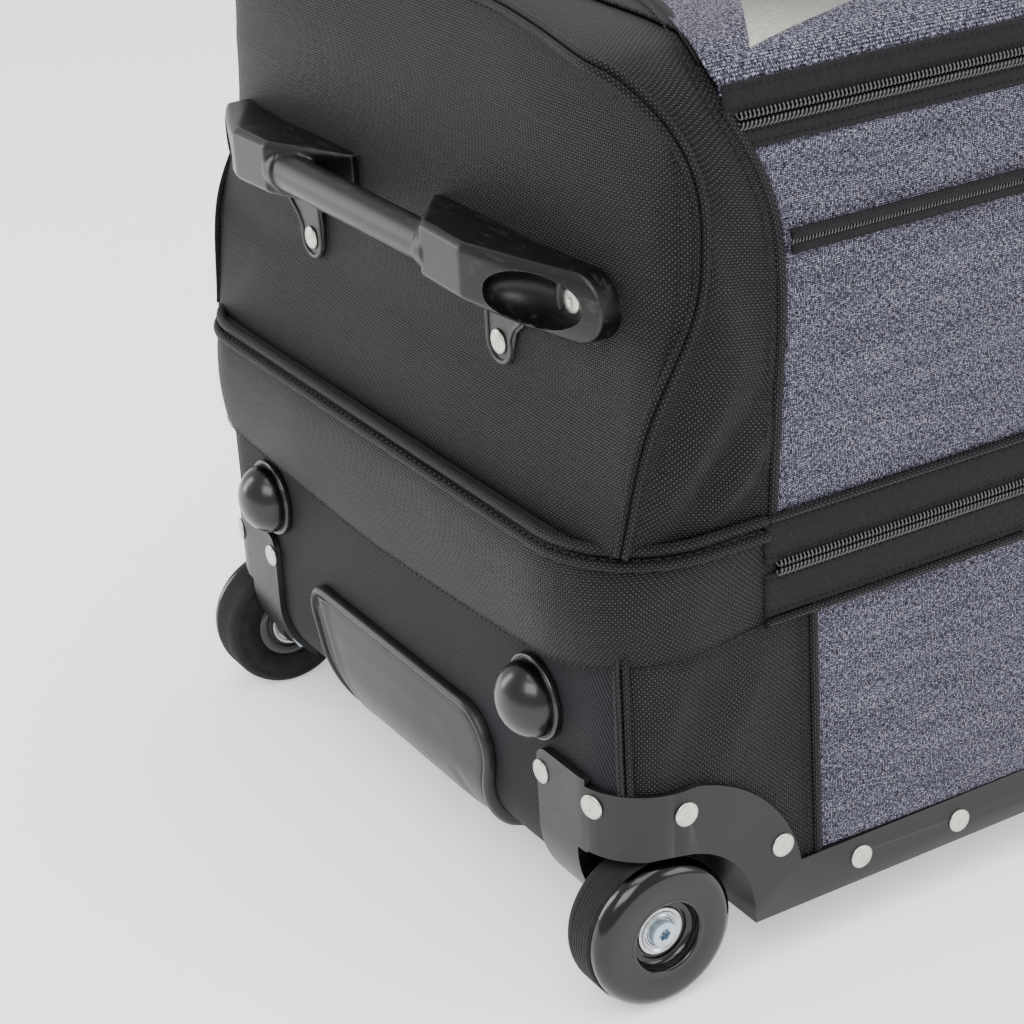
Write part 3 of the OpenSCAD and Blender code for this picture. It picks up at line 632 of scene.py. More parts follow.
def flat_section(width, height, sides=5):
    """Flat strip with rounded edges, lying on the surface."""
    a = np.linspace(-math.pi / 2, math.pi / 2, sides)
    r = height / 2
    right = np.stack([width / 2 - r + np.cos(a) * r, r + np.sin(a) * r], axis=1)
    left = np.stack([-width / 2 + r - np.cos(a) * r, r - np.sin(a) * r], axis=1)
    return np.vstack([right, left])


def joined(parts):
    """Several (points, faces, cloth) sets as one."""
    points, faces, cloth, start = [], [], [], 0
    for p, f, c in parts:
        points.append(np.asarray(p, float).reshape(-1, 3))
        cloth.append(np.asarray(c, float).reshape(-1, 2))
        faces += [[i + start for i in face] for face in f]
        start += len(points[-1])
    return np.vstack(points), faces, np.vstack(cloth)


def spaced(path, normals, step=3.0):
    """A path and its outward directions at even spacing."""
    line = even(np.hstack([path, normals]), step)
    return line[:, :3], unit(line[:, 3:])


def at_height(plan, z):
    """A plan line lifted to height z."""
    return np.column_stack([plan, np.full(len(plan), z)])


def toward(direction, path):
    """The same outward direction at every point of a path."""
    return np.tile(np.array(direction, float), (len(path), 1))


def stitch_set(path, normals, pitch=4.2, length=3.0, width=0.75):
    """A row of stitches: short fat threads that dive into the cloth at both ends."""
    even_path = even(np.hstack([path, normals]), pitch)
    path, normals = even_path[:, :3], even_path[:, 3:]
    t, n, b = frames(path, normals)
    stations = np.linspace(-0.5, 0.5, 5)
    rise = np.array([-0.35, 0.2, 0.35, 0.2, -0.35]) * width
    girth = np.array([0.25, 0.45, 0.5, 0.45, 0.25]) * width
    a = np.arange(6) * math.pi / 3
    local = np.array([[(s * length, math.cos(q) * g, math.sin(q) * g + r) for q in a]
                      for s, g, r in zip(stations, girth, rise)])
    rings, sides = local.shape[:2]
    base = np.array(grid_faces(rings, sides, True))
    caps = [list(range(sides))[::-1], [(rings - 1) * sides + i for i in range(sides)]]
    parts = []
    for c, tt, nn, bb in zip(path, t, n, b):
        flat = local.reshape(-1, 3)
        parts.append((c + flat[:, :1] * tt + flat[:, 1:2] * bb + flat[:, 2:] * nn,
                      base.tolist() + caps, flat[:, :2]))
    return joined(parts)


def stitches(name, rows, body, slot, **sizes):
    """Several stitch rows, each a (path, normals) pair, as one piece."""
    sets = joined([stitch_set(path, normals, **sizes) for path, normals in rows])
    return shaped(name, sets, THREAD, body)


def coil_row(path, normals, half_height, depth, pitch, wire, lean=0.0):
    """One side of a coil zip: nylon wire wound flat along the path."""
    s = lengths(path)
    steps = int(s[-1] / pitch) * 10
    t = np.linspace(0, s[-1], steps)
    line = np.stack([np.interp(t, s, path[:, i]) for i in range(3)], axis=1)
    n = np.stack([np.interp(t, s, normals[:, i]) for i in range(3)], axis=1)
    tangent, n, b = frames(line, n)
    a = 2 * math.pi * t / pitch
    wound = line + b * (np.cos(a) * half_height)[:, None] + n * (np.sin(a) * depth)[:, None]
    wound += tangent * (np.cos(a) * lean)[:, None]
    section = round_section(wire, wire, 5)
    return swept(wound, n, section)


def lathe(profile, centre, axis, sides=64):
    """A profile of (radius, distance along the axis) turned about the axis."""
    axis = unit(np.asarray(axis, float))
    first = unit(np.cross(axis, (0, 0, 1) if abs(axis[2]) < 0.9 else (1, 0, 0)))
    second = np.cross(axis, first)
    profile = np.asarray(profile, float)
    a = np.arange(sides) * 2 * math.pi / sides
    ring = np.cos(a)[:, None] * first + np.sin(a)[:, None] * second
    points = np.asarray(centre, float) + profile[:, :1, None] * ring[None] + profile[:, 1:, None] * axis
    rows = len(profile)
    faces = grid_faces(rows, sides, True)
    if not np.allclose(profile[0], profile[-1]):
        faces += [[r * sides + i for i in range(sides)] for r in (0, rows - 1) if profile[r, 0] > 0]
    spread = np.stack(np.broadcast_arrays(a[None] * 10, lengths(profile)[:, None]), axis=2)
    return points.reshape(-1, 3), faces, spread.reshape(-1, 2)


def corner(centre, radius, start, end, count=8):
    """Points of a round corner in a profile, angles in degrees."""
    a = np.radians(np.linspace(start, end, count))
    return [(centre[0] + radius * math.cos(q), centre[1] + radius * math.sin(q)) for q in a]


def bevelled(node, finish, width=0.8, angle=38, segments=2):
    """A CAD node kept as it is, with rounded edges and its finish."""
    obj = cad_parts[node]
    obj.data.materials.clear()
    obj.data.materials.append(finish.material)
    weld = obj.modifiers.new("weld", "WELD")
    weld.merge_threshold = 0.00001
    if width:
        bevel = obj.modifiers.new("edges", "BEVEL")
        bevel.width = width * MM
        bevel.segments = segments
        bevel.limit_method = "ANGLE"
        bevel.angle_limit = math.radians(angle)
        even_up = obj.modifiers.new("normals", "WEIGHTED_NORMAL")
        even_up.weight = 100
    obj.data.polygons.foreach_set("use_smooth", [True] * len(obj.data.polygons))
    return obj


def settle(obj, fixed, pressure=3.0, cap=5.0, count=14):
    """Lets the cloth fill out between its sewn borders, then keeps the result."""
    sewn = obj.vertex_groups.new(name="sewn")
    sewn.add([int(i) for i in fixed], 1.0, "REPLACE")
    cloth = obj.modifiers.new("settle", "CLOTH")
    rules = cloth.settings
    rules.vertex_group_mass = "sewn"
    rules.effector_weights.gravity = 0
    rules.use_pressure = True
    rules.uniform_pressure_force = pressure
    rules.tension_stiffness = 20
    rules.compression_stiffness = 20
    rules.bending_stiffness = 2
    rules.mass = 0.3
    cloth.point_cache.frame_start = 1
    cloth.point_cache.frame_end = count
    scene = bpy.context.scene
    shown = [m for m in obj.modifiers if m.type != "CLOTH"]
    for m in shown:
        m.show_viewport = False
    for f in range(1, count + 1):
        scene.frame_set(f)
    rest = np.array([v.co for v in obj.data.vertices])
    done = obj.evaluated_get(bpy.context.evaluated_depsgraph_get())
    moved = np.array([v.co for v in done.data.vertices]) - rest
    size = np.linalg.norm(moved, axis=1, keepdims=True)
    moved *= np.minimum(1, cap * MM / np.maximum(size, 1e-9))
    obj.modifiers.remove(cloth)
    obj.data.vertices.foreach_set("co", (rest + moved).astype(np.float32).ravel())
    obj.data.update()
    for m in shown:
        m.show_viewport = True
    scene.frame_set(1)


def border(rows, cols):
    index = np.arange(rows * cols).reshape(rows, cols)
    return np.unique(np.concatenate([index[0], index[-1], index[:, 0], index[:, -1]]))


def at_end(far, points):
    """Wheel-end points as they are, or turned to face the far end."""
    points = np.array(points, float)
    if far:
        points[..., 0] = BODY - points[..., 0]
    return points


def facing(far, directions):
    """Directions at the wheel end as they are, or turned to face the far end."""
    return directions * ((-1, 1, 1) if far else (1, 1, 1))


# ---------------------------------------------------------------- camera, light and floor

CAMERA_AT = (-818.77, -896.88, 628.77)
CAMERA_HEADING = 60.299
CAMERA_DIP = 25.110
CAMERA_ROLL = -3.395
CAMERA_LENS = 87.35


def photographer():
    camera = bpy.data.objects.new("camera", bpy.data.cameras.new("camera"))
    bpy.context.scene.collection.objects.link(camera)
    camera.data.lens = CAMERA_LENS
    camera.data.clip_end = 50
    a, e = math.radians(CAMERA_HEADING), math.radians(CAMERA_DIP)
    ahead = Vector((math.cos(a) * math.cos(e), math.sin(a) * math.cos(e), -math.sin(e)))
    turn = Matrix.Rotation(math.radians(CAMERA_ROLL), 4, "Z")
    look = ahead.to_track_quat("-Z", "Y").to_matrix().to_4x4() @ turn
    camera.matrix_world = Matrix.Translation(Vector(CAMERA_AT) * MM) @ look
    bpy.context.scene.camera = camera


def soft_box(name, place, target, size, power, colour=(1, 1, 1)):
    light = bpy.data.lights.new(name, "AREA")
    light.shape = "RECTANGLE"
    light.size, light.size_y = size
    light.energy = power
    light.color = colour
    obj = bpy.data.objects.new(name, light)
    obj.location = place
    obj.rotation_euler = (Vector(target) - Vector(place)).to_track_quat("-Z", "Y").to_euler()
    bpy.context.scene.collection.objects.link(obj)


def studio():
    world = bpy.data.worlds.new("studio")
    world.use_nodes = True
    world.node_tree.nodes["Background"].inputs["Color"].default_value = (1, 1, 1, 1)
    world.node_tree.nodes["Background"].inputs["Strength"].default_value = 1.0
    bpy.context.scene.world = world
    soft_box("key", (-1.5, -1.2, 1.9), (-0.2, 0, 0.2), (1.6, 1.2), 42)
    soft_box("overhead", (0.1, -0.2, 2.4), (0, 0, 0.2), (2.2, 1.6), 46)
    soft_box("side", (1.5, -2.0, 1.1), (0.1, 0, 0.2), (1.4, 1.2), 26)
    soft_box("rim", (-1.5, 1.6, 0.75), (-0.37, 0, 0.2), (0.5, 1.3), 16)
    mesh = bpy.data.meshes.new("floor")
    far = 9.0
    mesh.from_pydata([(-far, -far, 0), (far, -far, 0), (far, far, 0), (-far, far, 0)], [], [(0, 1, 2, 3)])
    floor = bpy.data.objects.new("floor", mesh)
    bpy.context.scene.collection.objects.link(floor)
    f = Finish("studio_floor", specular_ior_level=0.1)
    f.shader.inputs["Emission Color"].default_value = (1, 1, 1, 1)
    f.shader.inputs["Emission Strength"].default_value = 0.55
    f.finish(f.mix(f.noise(f.place(), 3.0), (0.92, 0.92, 0.92, 1), (0.95, 0.95, 0.95, 1)), 0.9)
    mesh.materials.append(f.material)


# ---------------------------------------------------------------- upper deck panels


def seam_pair():
    """End seam and side seam at the wheel end, point by point, bottom left over to bottom right."""
    a, b = spline(END_SEAM), spline(SIDE_SEAM)
    s = lengths((a + b) / 2)
    t = np.linspace(0, s[-1], int(s[-1] / STEP))
    pick = lambda path: np.stack([np.interp(t, s, path[:, i]) for i in range(3)], axis=1)
    return mirror_over(pick(a)), mirror_over(pick(b))


END_LINE, SIDE_LINE = seam_pair()


def end_grid():
    """The end panel: rows across the bag between the two legs of its seam, then up to the top."""
    leg = even(spline(END_SEAM[:SHOULDER_KNOT + 1]), STEP)
    top = spline(END_SEAM[SHOULDER_KNOT:])
    v = np.linspace(0, 1, len(leg))[:, None]
    u = np.linspace(-1, 1, 91)[None, :]
    across = np.sin(u * math.pi / 2)
    centre = np.interp(leg[:, 2], [209, 230, 256, 306, 340, 365, 385, 397],
                       [3, 10, 18.5, 20.5, 21.5, 24, 29, 35])[:, None]
    blunt = np.interp(leg[:, 2], [209, 340, 375, 397], [9, 8, 3.5, 2])[:, None]
    power = np.interp(leg[:, 2], [209, 360, 397], [0.5, 0.5, 1.0])[:, None]
    swell = (1 - np.abs(across) ** blunt) ** power
    x = leg[:, :1] + (centre - leg[:, :1]) * swell
    y = leg[:, 1:2] * across
    crown = np.interp(np.abs(y), top[::-1, 1], top[::-1, 2]) - leg[-1, 2]
    z = leg[:, 2:] + crown * np.clip((v - 0.8) / 0.2, 0, 1) ** 2
    return np.stack(np.broadcast_arrays(x, y, z), axis=2)


END_FOLDS = [((12, -150, 330), (18, -172, 250), 10, -1.6), ((14, -120, 268), (8, -60, 222), 12, -1.3),
             ((14, 125, 300), (10, 160, 220), 11, -1.5), ((14, 30, 262), (8, -30, 218), 14, 1.2),
             ((16, -60, 380), (20, 60, 372), 16, -1.2), ((14, -168, 300), (20, -178, 215), 7, 1.8)]


def under_handle(points):
    """True where the handle's feet and rivet tabs press the end panel flat."""
    side, z = np.abs(points[:, 1]), points[:, 2]
    tabs = (side > 64) & (side < 106) & (z > 252) & (z < 300)
    return tabs | (side > 30) & (side < 170) & (z > 283) & (z < 322)


def upper_ends():
    """The black end panels, with a stitch line just inside each seam."""
    for far, end in ENDS:
        grid = end_grid()
        inside = edge_fade(grid, 4)
        grid = drape(grid, (folds(grid, END_FOLDS) + hand(grid, 1.0, 1.3)) * inside)
        obj = panel(f"upper_{end}_panel", at_end(far, grid), BLACK_CLOTH, "upper_deck",
                    [f"upper_end_{end}"])
        riveted = np.nonzero(under_handle(grid.reshape(-1, 3)))[0]
        settle(obj, np.union1d(border(*grid.shape[:2]), riveted), 2.0, 3.5)
        grids = (at_end(far, grid), facing(far, outward(grid)))
        lines = [np.concatenate([a[:-2, 5], a[-3, 6:-6], a[:-2, -6][::-1]]) for a in grids]
        stitches(f"upper_{end}_seam_stitches", [tuple(lines)], "upper_deck", "ballistic_fabric")


def gusset_grid(far):
    """Strip between the end seam and the side seam, stopped on top at the lid's hinge or its zip."""
    a, b = END_LINE, SIDE_LINE.copy()
    if far:
        under_zip = np.clip((b[:, 2] - 380) / 11, 0, 1)
        b[:, 0] += (BODY - LID_ZIP_END - 4 - b[:, 0]) * under_zip
        b[:, 2] += 0.8 * under_zip
    else:
        on_top = b[:, 2] > 391
        b[on_top, 0] = np.minimum(b[on_top, 0], LID_START)
    w = np.linspace(0, 1, 17)[None, :, None]
    grid = a[:, None] * (1 - w) + b[:, None] * w
    return drape(grid, 2.2 * np.sin(math.pi * w[..., 0]) ** 0.8 + 0 * grid[..., 0])


GUSSET_FOLDS = [((20, -188, 210), (62, -190, 282), 6, 4.2), ((30, -188, 209), (72, -189, 262), 5, -3.4),
                ((42, -188, 208), (78, -189, 248), 5, 3.4), ((54, -188, 207), (80, -189, 232), 4, -2.6),
                ((17, -187, 226), (48, -190, 300), 6, -3.2), ((46, -190, 350), (72, -190, 296), 8, -2.0),
                ((30, -182, 384), (52, -186, 366), 7, -1.6), ((50, -189, 330), (56, -189, 272), 6, 1.6),
                ((24, 188, 214), (58, 190, 262), 7, 3.0), ((40, 188, 212), (72, 189, 250), 7, -2.4)]


def upper_gussets():
    """Black cloth over each end's arch, creased above the hinge band."""
    for far, end in ENDS:
        grid = gusset_grid(far)
        inside = edge_fade(grid, 3)
        grid = drape(grid, (folds(grid, GUSSET_FOLDS) + hand(grid, 0.5, 0.4)) * inside)
        obj = panel(f"upper_{end}_gusset_cloth", at_end(far, grid), BLACK_CLOTH, "upper_deck",
                    [f"upper_gusset_{end}"], 1.8)
        settle(obj, border(*grid.shape[:2]), 1.0, 1.5, 10)


def seam_normals(line):
    """Outward directions along a seam that runs up a side and over the top."""
    n = np.zeros_like(line)
    n[:, 1] = np.sign(line[:, 1]) * np.clip((np.abs(line[:, 1]) - 150) / 30, 0.02, 1)
    n[:, 2] = np.clip((line[:, 2] - 350) / 40, 0, 1)
    return unit(n)


def end_seam_trim():
    """Double welt where the end panel meets the gusset."""
    for far, end in ENDS:
        line = even(np.hstack([END_LINE, unit(seam_normals(END_LINE) + (-0.75, 0, 0))]), 3)
        path, n = line[:, :3] + line[:, 3:] * 0.4, unit(line[:, 3:])
        _, out, side = frames(path, n)
        for k, offset in enumerate((-1.7, 1.7)):
            welt = swept(at_end(far, path + side * offset), facing(far, out), round_section(3.2, 2.6, 8))
            shaped(f"upper_{end}_seam_welt_{k}", welt, BLACK_CLOTH, "upper_deck")


EDGE_FOLD = round_section(4.6, 2.6, 8)
STITCH_INSET = 6.5


def side_seam_trim():
    """Folded black edge of the gusset where it lies on the coloured panels, stitched down."""
    for far, end in ENDS:
        keep = SIDE_LINE[:, 2] < 392
        for side_name, pick in (("left", SIDE_LINE[:, 1] > 0), ("right", SIDE_LINE[:, 1] < 0)):
            path, n = spaced(SIDE_LINE[keep & pick], seam_normals(SIDE_LINE[keep & pick]))
            edge = at_end(far, path - (0.6, 0, 0) + n * 0.3)
            shaped(f"upper_{end}_edge_fold_{side_name}", swept(edge, facing(far, n), EDGE_FOLD),
                   BLACK_CLOTH, "upper_deck")
            row = at_end(far, path - (STITCH_INSET, 0, 0) + n * 1.5)
            stitches(f"upper_{end}_edge_stitches_{side_name}", [(row, facing(far, n))],
                     "upper_deck", "ballistic_fabric")


SIDE_FOLDS = [((90, -188, 330), (150, -188, 345), 12, -1.0), ((110, -188, 300), (190, -188, 270), 16, -1.3),
              ((250, -188, 250), (330, -188, 300), 18, -1.2),
               ((480, -188, 300), (560, -188, 240), 18, -1.4)]


def side_grid(low, high):
    """A side panel between the side seams of the two ends."""
    half_line = SIDE_LINE[:len(SIDE_LINE) // 2]
    rising = half_line[:, 2] < 382
    z = np.arange(low, high + 0.1, STEP)
    start = np.interp(z, half_line[rising, 2], half_line[rising, 0])[:, None]
    out = np.interp(z, half_line[rising, 2], half_line[rising, 1])[:, None] - 0.8
    u = np.linspace(0, 1, 131)[None, :]
    x = start + (BODY - 2 * start) * u
    belly = np.sin(math.pi * np.clip((z[:, None] - low) / (high - low), 0, 1)) * np.sin(math.pi * u) ** 0.4
    return np.stack(np.broadcast_arrays(x, -(out + 2.4 * belly), z[:, None] + 0 * x), axis=2)


def upper_sides():
    """The grey canvas of the upper deck's long sides."""
    for side_name, turn in (("left", -1), ("right", 1)):
        grid = side_grid(BAND_HIGH - 1, 361)
        inside = edge_fade(grid, 4)
        grid = drape(grid, (folds(grid, SIDE_FOLDS) + hand(grid, 0.9, 2.0 + turn)) * inside)
        grid = grid * (1, turn, 1)
        obj = panel(f"upper_{side_name}_canvas", grid, GREY_CLOTH, "upper_deck",
                    [f"upper_side_{side_name}"])
        settle(obj, border(*grid.shape[:2]), 1.5, 2.5, 10)


# ---------------------------------------------------------------- lid

LID_EDGE = 382.0


def lid_section():
    """Half of the lid's outline across the bag, from its edge on the shoulder to the middle."""
    cy, cz = HALF + 3 - SHOULDER, TOP - SHOULDER
    start = math.degrees(math.asin((LID_EDGE - cz) / SHOULDER))
    arc = corner((cy, cz), SHOULDER, start, 90, 8)
    top = [(y, TOP + 2.2 * math.cos(math.pi / 2 * y / cy)) for y in np.linspace(cy, 0, 32)[1:]]
    return np.array(arc + top)


def lid_outline():
    """The lid's outline across the bag, and where the lid starts at each of its points."""
    section = lid_section()
    full = np.vstack([section * (-1, 1), section[-2::-1]])
    half_line = SIDE_LINE[:len(SIDE_LINE) // 2 + 1]
    shoulder = half_line[half_line[:, 2] > 375]
    place = np.abs(full[:, 0])
    start = np.interp(place, shoulder[::-1, 1], shoulder[::-1, 0]) - 2
    return full, start


LID_FOLDS = [((90, -160, 398), (240, -90, 401), 22, -1.4), ((120, 60, 402), (300, 120, 401), 26, -1.5),
             ((330, -40, 402), (480, 30, 402), 30, 1.3), ((500, -150, 398), (620, -60, 402), 22, -1.2)]


def lid():
    """Printed lid canvas, its hinge strip, and the stitched fold along the hinge."""
    full, start = lid_outline()
    stop = LID_ZIP_END - 12
    x = start[:, None] + (stop - start[:, None]) * np.linspace(0, 1, 129)[None, :]
    grid = np.stack(np.broadcast_arrays(x, full[:, :1], full[:, 1:]), axis=2)
    cloth = np.stack(np.broadcast_arrays(grid[..., 0] - LID_START, full[:, :1]), axis=2)
    inside = edge_fade(grid, 4)
    grid = drape(grid, (folds(grid, LID_FOLDS) + hand(grid, 1.1, 0.7)) * inside)
    obj = panel("lid_canvas", grid, LID_CLOTH, "lid", ["lid_panel"], 1.3, cloth)
    settle(obj, border(*grid.shape[:2]), 1.5, 3.0, 10)
    edge = SIDE_LINE[SIDE_LINE[:, 2] > 388]
    near = np.minimum(edge[:, 0], LID_START - 1)[:, None] * (1, 0, 0) + edge * (0, 1, 1)
    w = np.linspace(0, 1, 6)[None, :, None]
    strip = near[:, None] * (1 - w) + (edge + (2, 0, 0))[:, None] * w
    panel("lid_hinge_strip", strip + (0, 0, 2.4), BLACK_CLOTH, "lid", (), 1.6)
    n = seam_normals(edge)
    path, n = spaced(edge + n * 2.0, n)
    shaped("lid_edge_fold", swept(path, n, EDGE_FOLD), BLACK_CLOTH, "lid")
    stitches("lid_edge_stitches", [(path - (STITCH_INSET, 0, 0) + n * 0.9, n)], "lid", "ballistic_fabric")


# ---------------------------------------------------------------- zips


def lid_zip_line():
    """Centre line of the lid zip and its outward directions: both sides and over the far end."""
    half, points, normals = HALF + 2.4, [], []
    cy, cz = half - SHOULDER, TOP - SHOULDER + 1.5
    turn = 16
    for x in np.arange(56, LID_ZIP_END - turn, 4):
        points.append((x, half, LID_ZIP_LINE))
        normals.append((0, 1, 0))
    for q in np.radians(np.linspace(0, 90, 8)):
        points.append((LID_ZIP_END - turn + turn * math.sin(q), half,
                       LID_ZIP_LINE + turn * (1 - math.cos(q)) * 0.35))
        normals.append((0, 1, 0))
    for q in np.radians(np.linspace(8, 90, 10)):
        points.append((LID_ZIP_END, cy + SHOULDER * math.cos(q), cz + SHOULDER * math.sin(q)))
        normals.append((0, math.cos(q), math.sin(q)))
    for y in np.linspace(cy, 0, 30)[1:]:
        points.append((LID_ZIP_END, y, TOP + 1.5))
        normals.append((0, 0, 1))
    return spaced(mirror_over(np.array(points)), mirror_over(np.array(normals, float)))


ZIP_ROW = 3.4
ZIP_GAP = 0.2
ZIP_LEAD = 5.0


def zip_side(name, path, normals, hand_side, body, replaces, tape_width):
    """Half a coil zip: tape, its two stitch lines and the wound coil along its inner edge."""
    _, n, b = frames(path, normals)
    b = b * hand_side
    middle = path + b * (ZIP_GAP + ZIP_ROW + tape_width / 2 - 1.5)
    tape = swept(middle - n * 0.9, n, flat_section(tape_width, 1.3))
    shaped(f"{name}_tape", tape, TAPE, body, replaces)
    coil_path = path + b * (ZIP_GAP + ZIP_ROW / 2) + n * 0.8
    s = lengths(path)
    keep = (s > ZIP_LEAD) & (s < s[-1] - ZIP_LEAD)
    coil = coil_row(coil_path[keep], n[keep], ZIP_ROW / 2 - 0.3, 0.95, 1.9, 0.95, 0.4 * hand_side)
    shaped(f"{name}_coil", coil, COIL, body)
    rows = [(path + b * (ZIP_GAP + ZIP_ROW + w) + n * 0.45, n) for w in (1.4, tape_width - 3.6)]
    stitches(f"{name}_stitches", rows, body, "zip_tape", pitch=3.4, length=2.5, width=0.55)


def lid_zip():
    path, normals = lid_zip_line()
    zip_side("lid_zip_body_side", path, normals, -1, "upper_deck", ["lid_zip_lower"], 9.5)
    zip_side("lid_zip_lid_side", path, normals, 1, "lid", ["lid_zip_upper"], 12.5)


def plan_line(x_side, x_end, half, radius, step=3.0):
    """Line round one end of the bag in plan, from the left side to the right, and its normals."""
    turn = 1 if x_end > x_side else -1
    cx, cy = x_end - turn * radius, half - radius
    quarter = [(cx + turn * radius * math.sin(q), cy + radius * math.cos(q))
               for q in np.radians(np.linspace(0, 90, 12))]
    right = [(x, -y) for x, y in quarter[::-1]]
    path = even(np.array([(x_side, half)] + quarter + right + [(x_side, -half)]), step)
    t = unit(np.gradient(path, axis=0))
    n = np.stack([t[:, 1], -t[:, 0]], axis=1) * -turn
    return path, n


def wall(path, normals, section):
    """Grid of a section, (out, height) pairs, carried round a plan line."""
    return np.array([at_height(path + normals * out, z) for out, z in section])


def deck_zip():
    """The parting zip round three sides, the ledge behind its upper tape, and its two pipings."""
    plan, normals = plan_line(ZIP_START, BODY + 2.5, HALF + 2.5, PLAN_CORNER + 2)
    path, n = at_height(plan, SPLIT), at_height(normals, 0.0)
    side = np.sign(frames(path, n)[2][0, 2])
    zip_side("deck_zip_lower_side", path, n, -side, "root", ["deck_zip_lower"], 19)
    zip_side("deck_zip_upper_side", path, n, side, "upper_deck", ["deck_zip_upper"], 19.5)
    ledge = swept(at_height(plan, BAND_HIGH - 0.8) - n * 3, toward((0, 0, 1), plan), flat_section(9, 1.2))
    shaped("deck_zip_upper_ledge", ledge, BLACK_CLOTH, "upper_deck")
    for name, body, z, out in (("upper", "upper_deck", BAND_HIGH, 0.5), ("lower", "root", 163.5, 0.2)):
        trim = swept(at_height(plan, z) + n * out, n, round_section(3.4, 3.8, 10))
        shaped(f"deck_zip_{name}_piping", trim, BLACK_CLOTH, body)


def pocket_zip():
    """Flat welt zip of the side pocket: two stitched strips that meet over a hidden coil."""
    x0 = reach("pocket_zip", 0, 0) + 1
    x1 = reach("pocket_zip", 1, 0) - 1
    y = reach("pocket_zip", 0, 1) - 2.6
    x = np.arange(x0, x1, 5.0)
    plan = at_height(x, y)
    n = toward((0, -1, 0), x)
    parts, rows = [], []
    for half in (-1, 1):
        line = at_height(plan, POCKET_ZIP + half * 2.9)
        parts.append(swept(line, n, flat_section(4.2, 1.8)))
        rows.append((line + (0, -1.7, half * 1.3), n))
    tapes = joined(parts)
    shaped("pocket_zip_welts", tapes, TAPE, "upper_deck", ["pocket_zip"])
    stitches("pocket_zip_stitches", rows, "upper_deck", "zip_tape", pitch=3.2, length=2.3, width=0.5)
    coil = coil_row(at_height(plan, POCKET_ZIP) - (0, 0.7, 0), n, 1.1, 0.6, 1.5, 0.7)
    shaped("pocket_zip_coil", coil, COIL, "upper_deck")


# ---------------------------------------------------------------- hinge band


def band_line(extra=0.0):
    """Plan line of the hinge band, started extra millimetres past the ends of the zips."""
    return plan_line(ZIP_START + extra, -1.0, HALF + 1.5, 44.0, 3.5)


BAND_SECTION = [(1.2, BAND_LOW + 0.5), (3.6, BAND_LOW), (4.6, BAND_LOW + 4), (5.4, 156),
                (6.2, 164), (6.8, 172),
                (7.0, 180), (6.8, 187), (6.4, 193), (5.6, 198), (4.2, 202), (2.8, 205), (1.6, 207.5),
                (-2, 208.4), (-7, 208.8)]


def hinge_band():
    """Fabric band that hinges the decks: full over the wheel end, flat where the zips begin."""
    path, n = band_line(8.0)
    section = spline(BAND_SECTION, 4)
    grid = wall(path, n, section)
    t = np.linspace(0, 1, len(path))
    from_end = np.minimum(t, 1 - t)
    fullness = np.clip(from_end * lengths(path)[-1] / 95, 0, 1) ** 0.8
    flat = wall(path, n, [(min(out, -0.6), z) for out, z in section])
    grid = flat + (grid - flat) * fullness[None, :, None]
    rise = (1 - 2 * from_end) ** 1.3 * np.clip((180 - section[:, 1:2]) / 33, 0, 1)
    grid[..., 2] += rise * 16
    creases = [((-6, -150, 205), (-8, -120, 160), 16, 1.2), ((-8, 40, 200), (-8, 90, 160), 22, 1.3),
               ((20, -190, 200), (2, -170, 165), 10, 1.5), ((-8, -60, 195), (-8, 0, 165), 24, -1.2)]
    grid = drape(grid, (folds(grid, creases) + hand(grid, 0.9, 4.0)) * edge_fade(grid, 4))
    obj = panel("hinge_band_cloth", grid, BLACK_CLOTH, None,
                ["hinge_band_lower", "hinge_band_upper"], 1.6)
    settle(obj, border(*grid.shape[:2]), 1.0, 1.5, 8)
    hinge_blend(obj)
    out = outward(grid)[6]
    hem = stitches("hinge_band_hem_stitches", [(grid[6] + out * 0.4, out)], None, "ballistic_fabric",
                   pitch=3.8, length=2.9, width=0.6)
    hinge_blend(hem)


def hinge_blend(obj):
    """Applies the placement of a piece of the band to its mesh points."""
    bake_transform(obj)


def band_piping():
    """Two cords along the top of the band, with the stitched ditch between them."""
    plan, n = band_line()
    out = at_height(n, 0.0)
    cords = joined([swept(at_height(plan + n * offset, z), out, round_section(size, size, 12))
                    for offset, z, size in ((2.2, BAND_HIGH + 0.5, 4.6), (4.4, BAND_HIGH - 5.2, 4.2))])
    shaped("hinge_band_piping", cords, BLACK_CLOTH, "upper_deck")
    ditch = at_height(plan + n * 4.6, BAND_HIGH - 2.3)
    stitches("hinge_band_piping_stitches", [(ditch, out)], "upper_deck", "ballistic_fabric")


# ---------------------------------------------------------------- lower deck

WELL = (24.0, 30.0, 43.5)


def clear_of_wheels(points):
    """True where a point is outside the wells that the wheels turn in."""
    x, y, z = (points[..., i] for i in range(3))
    middle, low, radius = WELL
    arch = np.hypot(x - middle, z - low) < radius
    hole = (x < middle) & (z < low + radius) | (z < low) & (x < middle + radius) | arch
    return ~(hole & (np.abs(y) > 152))


LOWER_TOP = 168.0
END_FACE = 3.0
LOWER_HALF = 175.0
LOWER_SEAM_X = 10.5


def under_shift(z):
    """How far the end face has rolled under at height z."""
    drop = np.clip(FLOOR + UNDER - z, 0, UNDER)
    return UNDER - np.sqrt(np.maximum(UNDER ** 2 - drop ** 2, 0))


def corner_shift(y):
    """How far the end face turns back near the side of the bag."""
    over = np.clip(np.abs(y) - (HALF - PLAN_CORNER), 0, PLAN_CORNER)
    return PLAN_CORNER - np.sqrt(np.maximum(PLAN_CORNER ** 2 - over ** 2, 0))


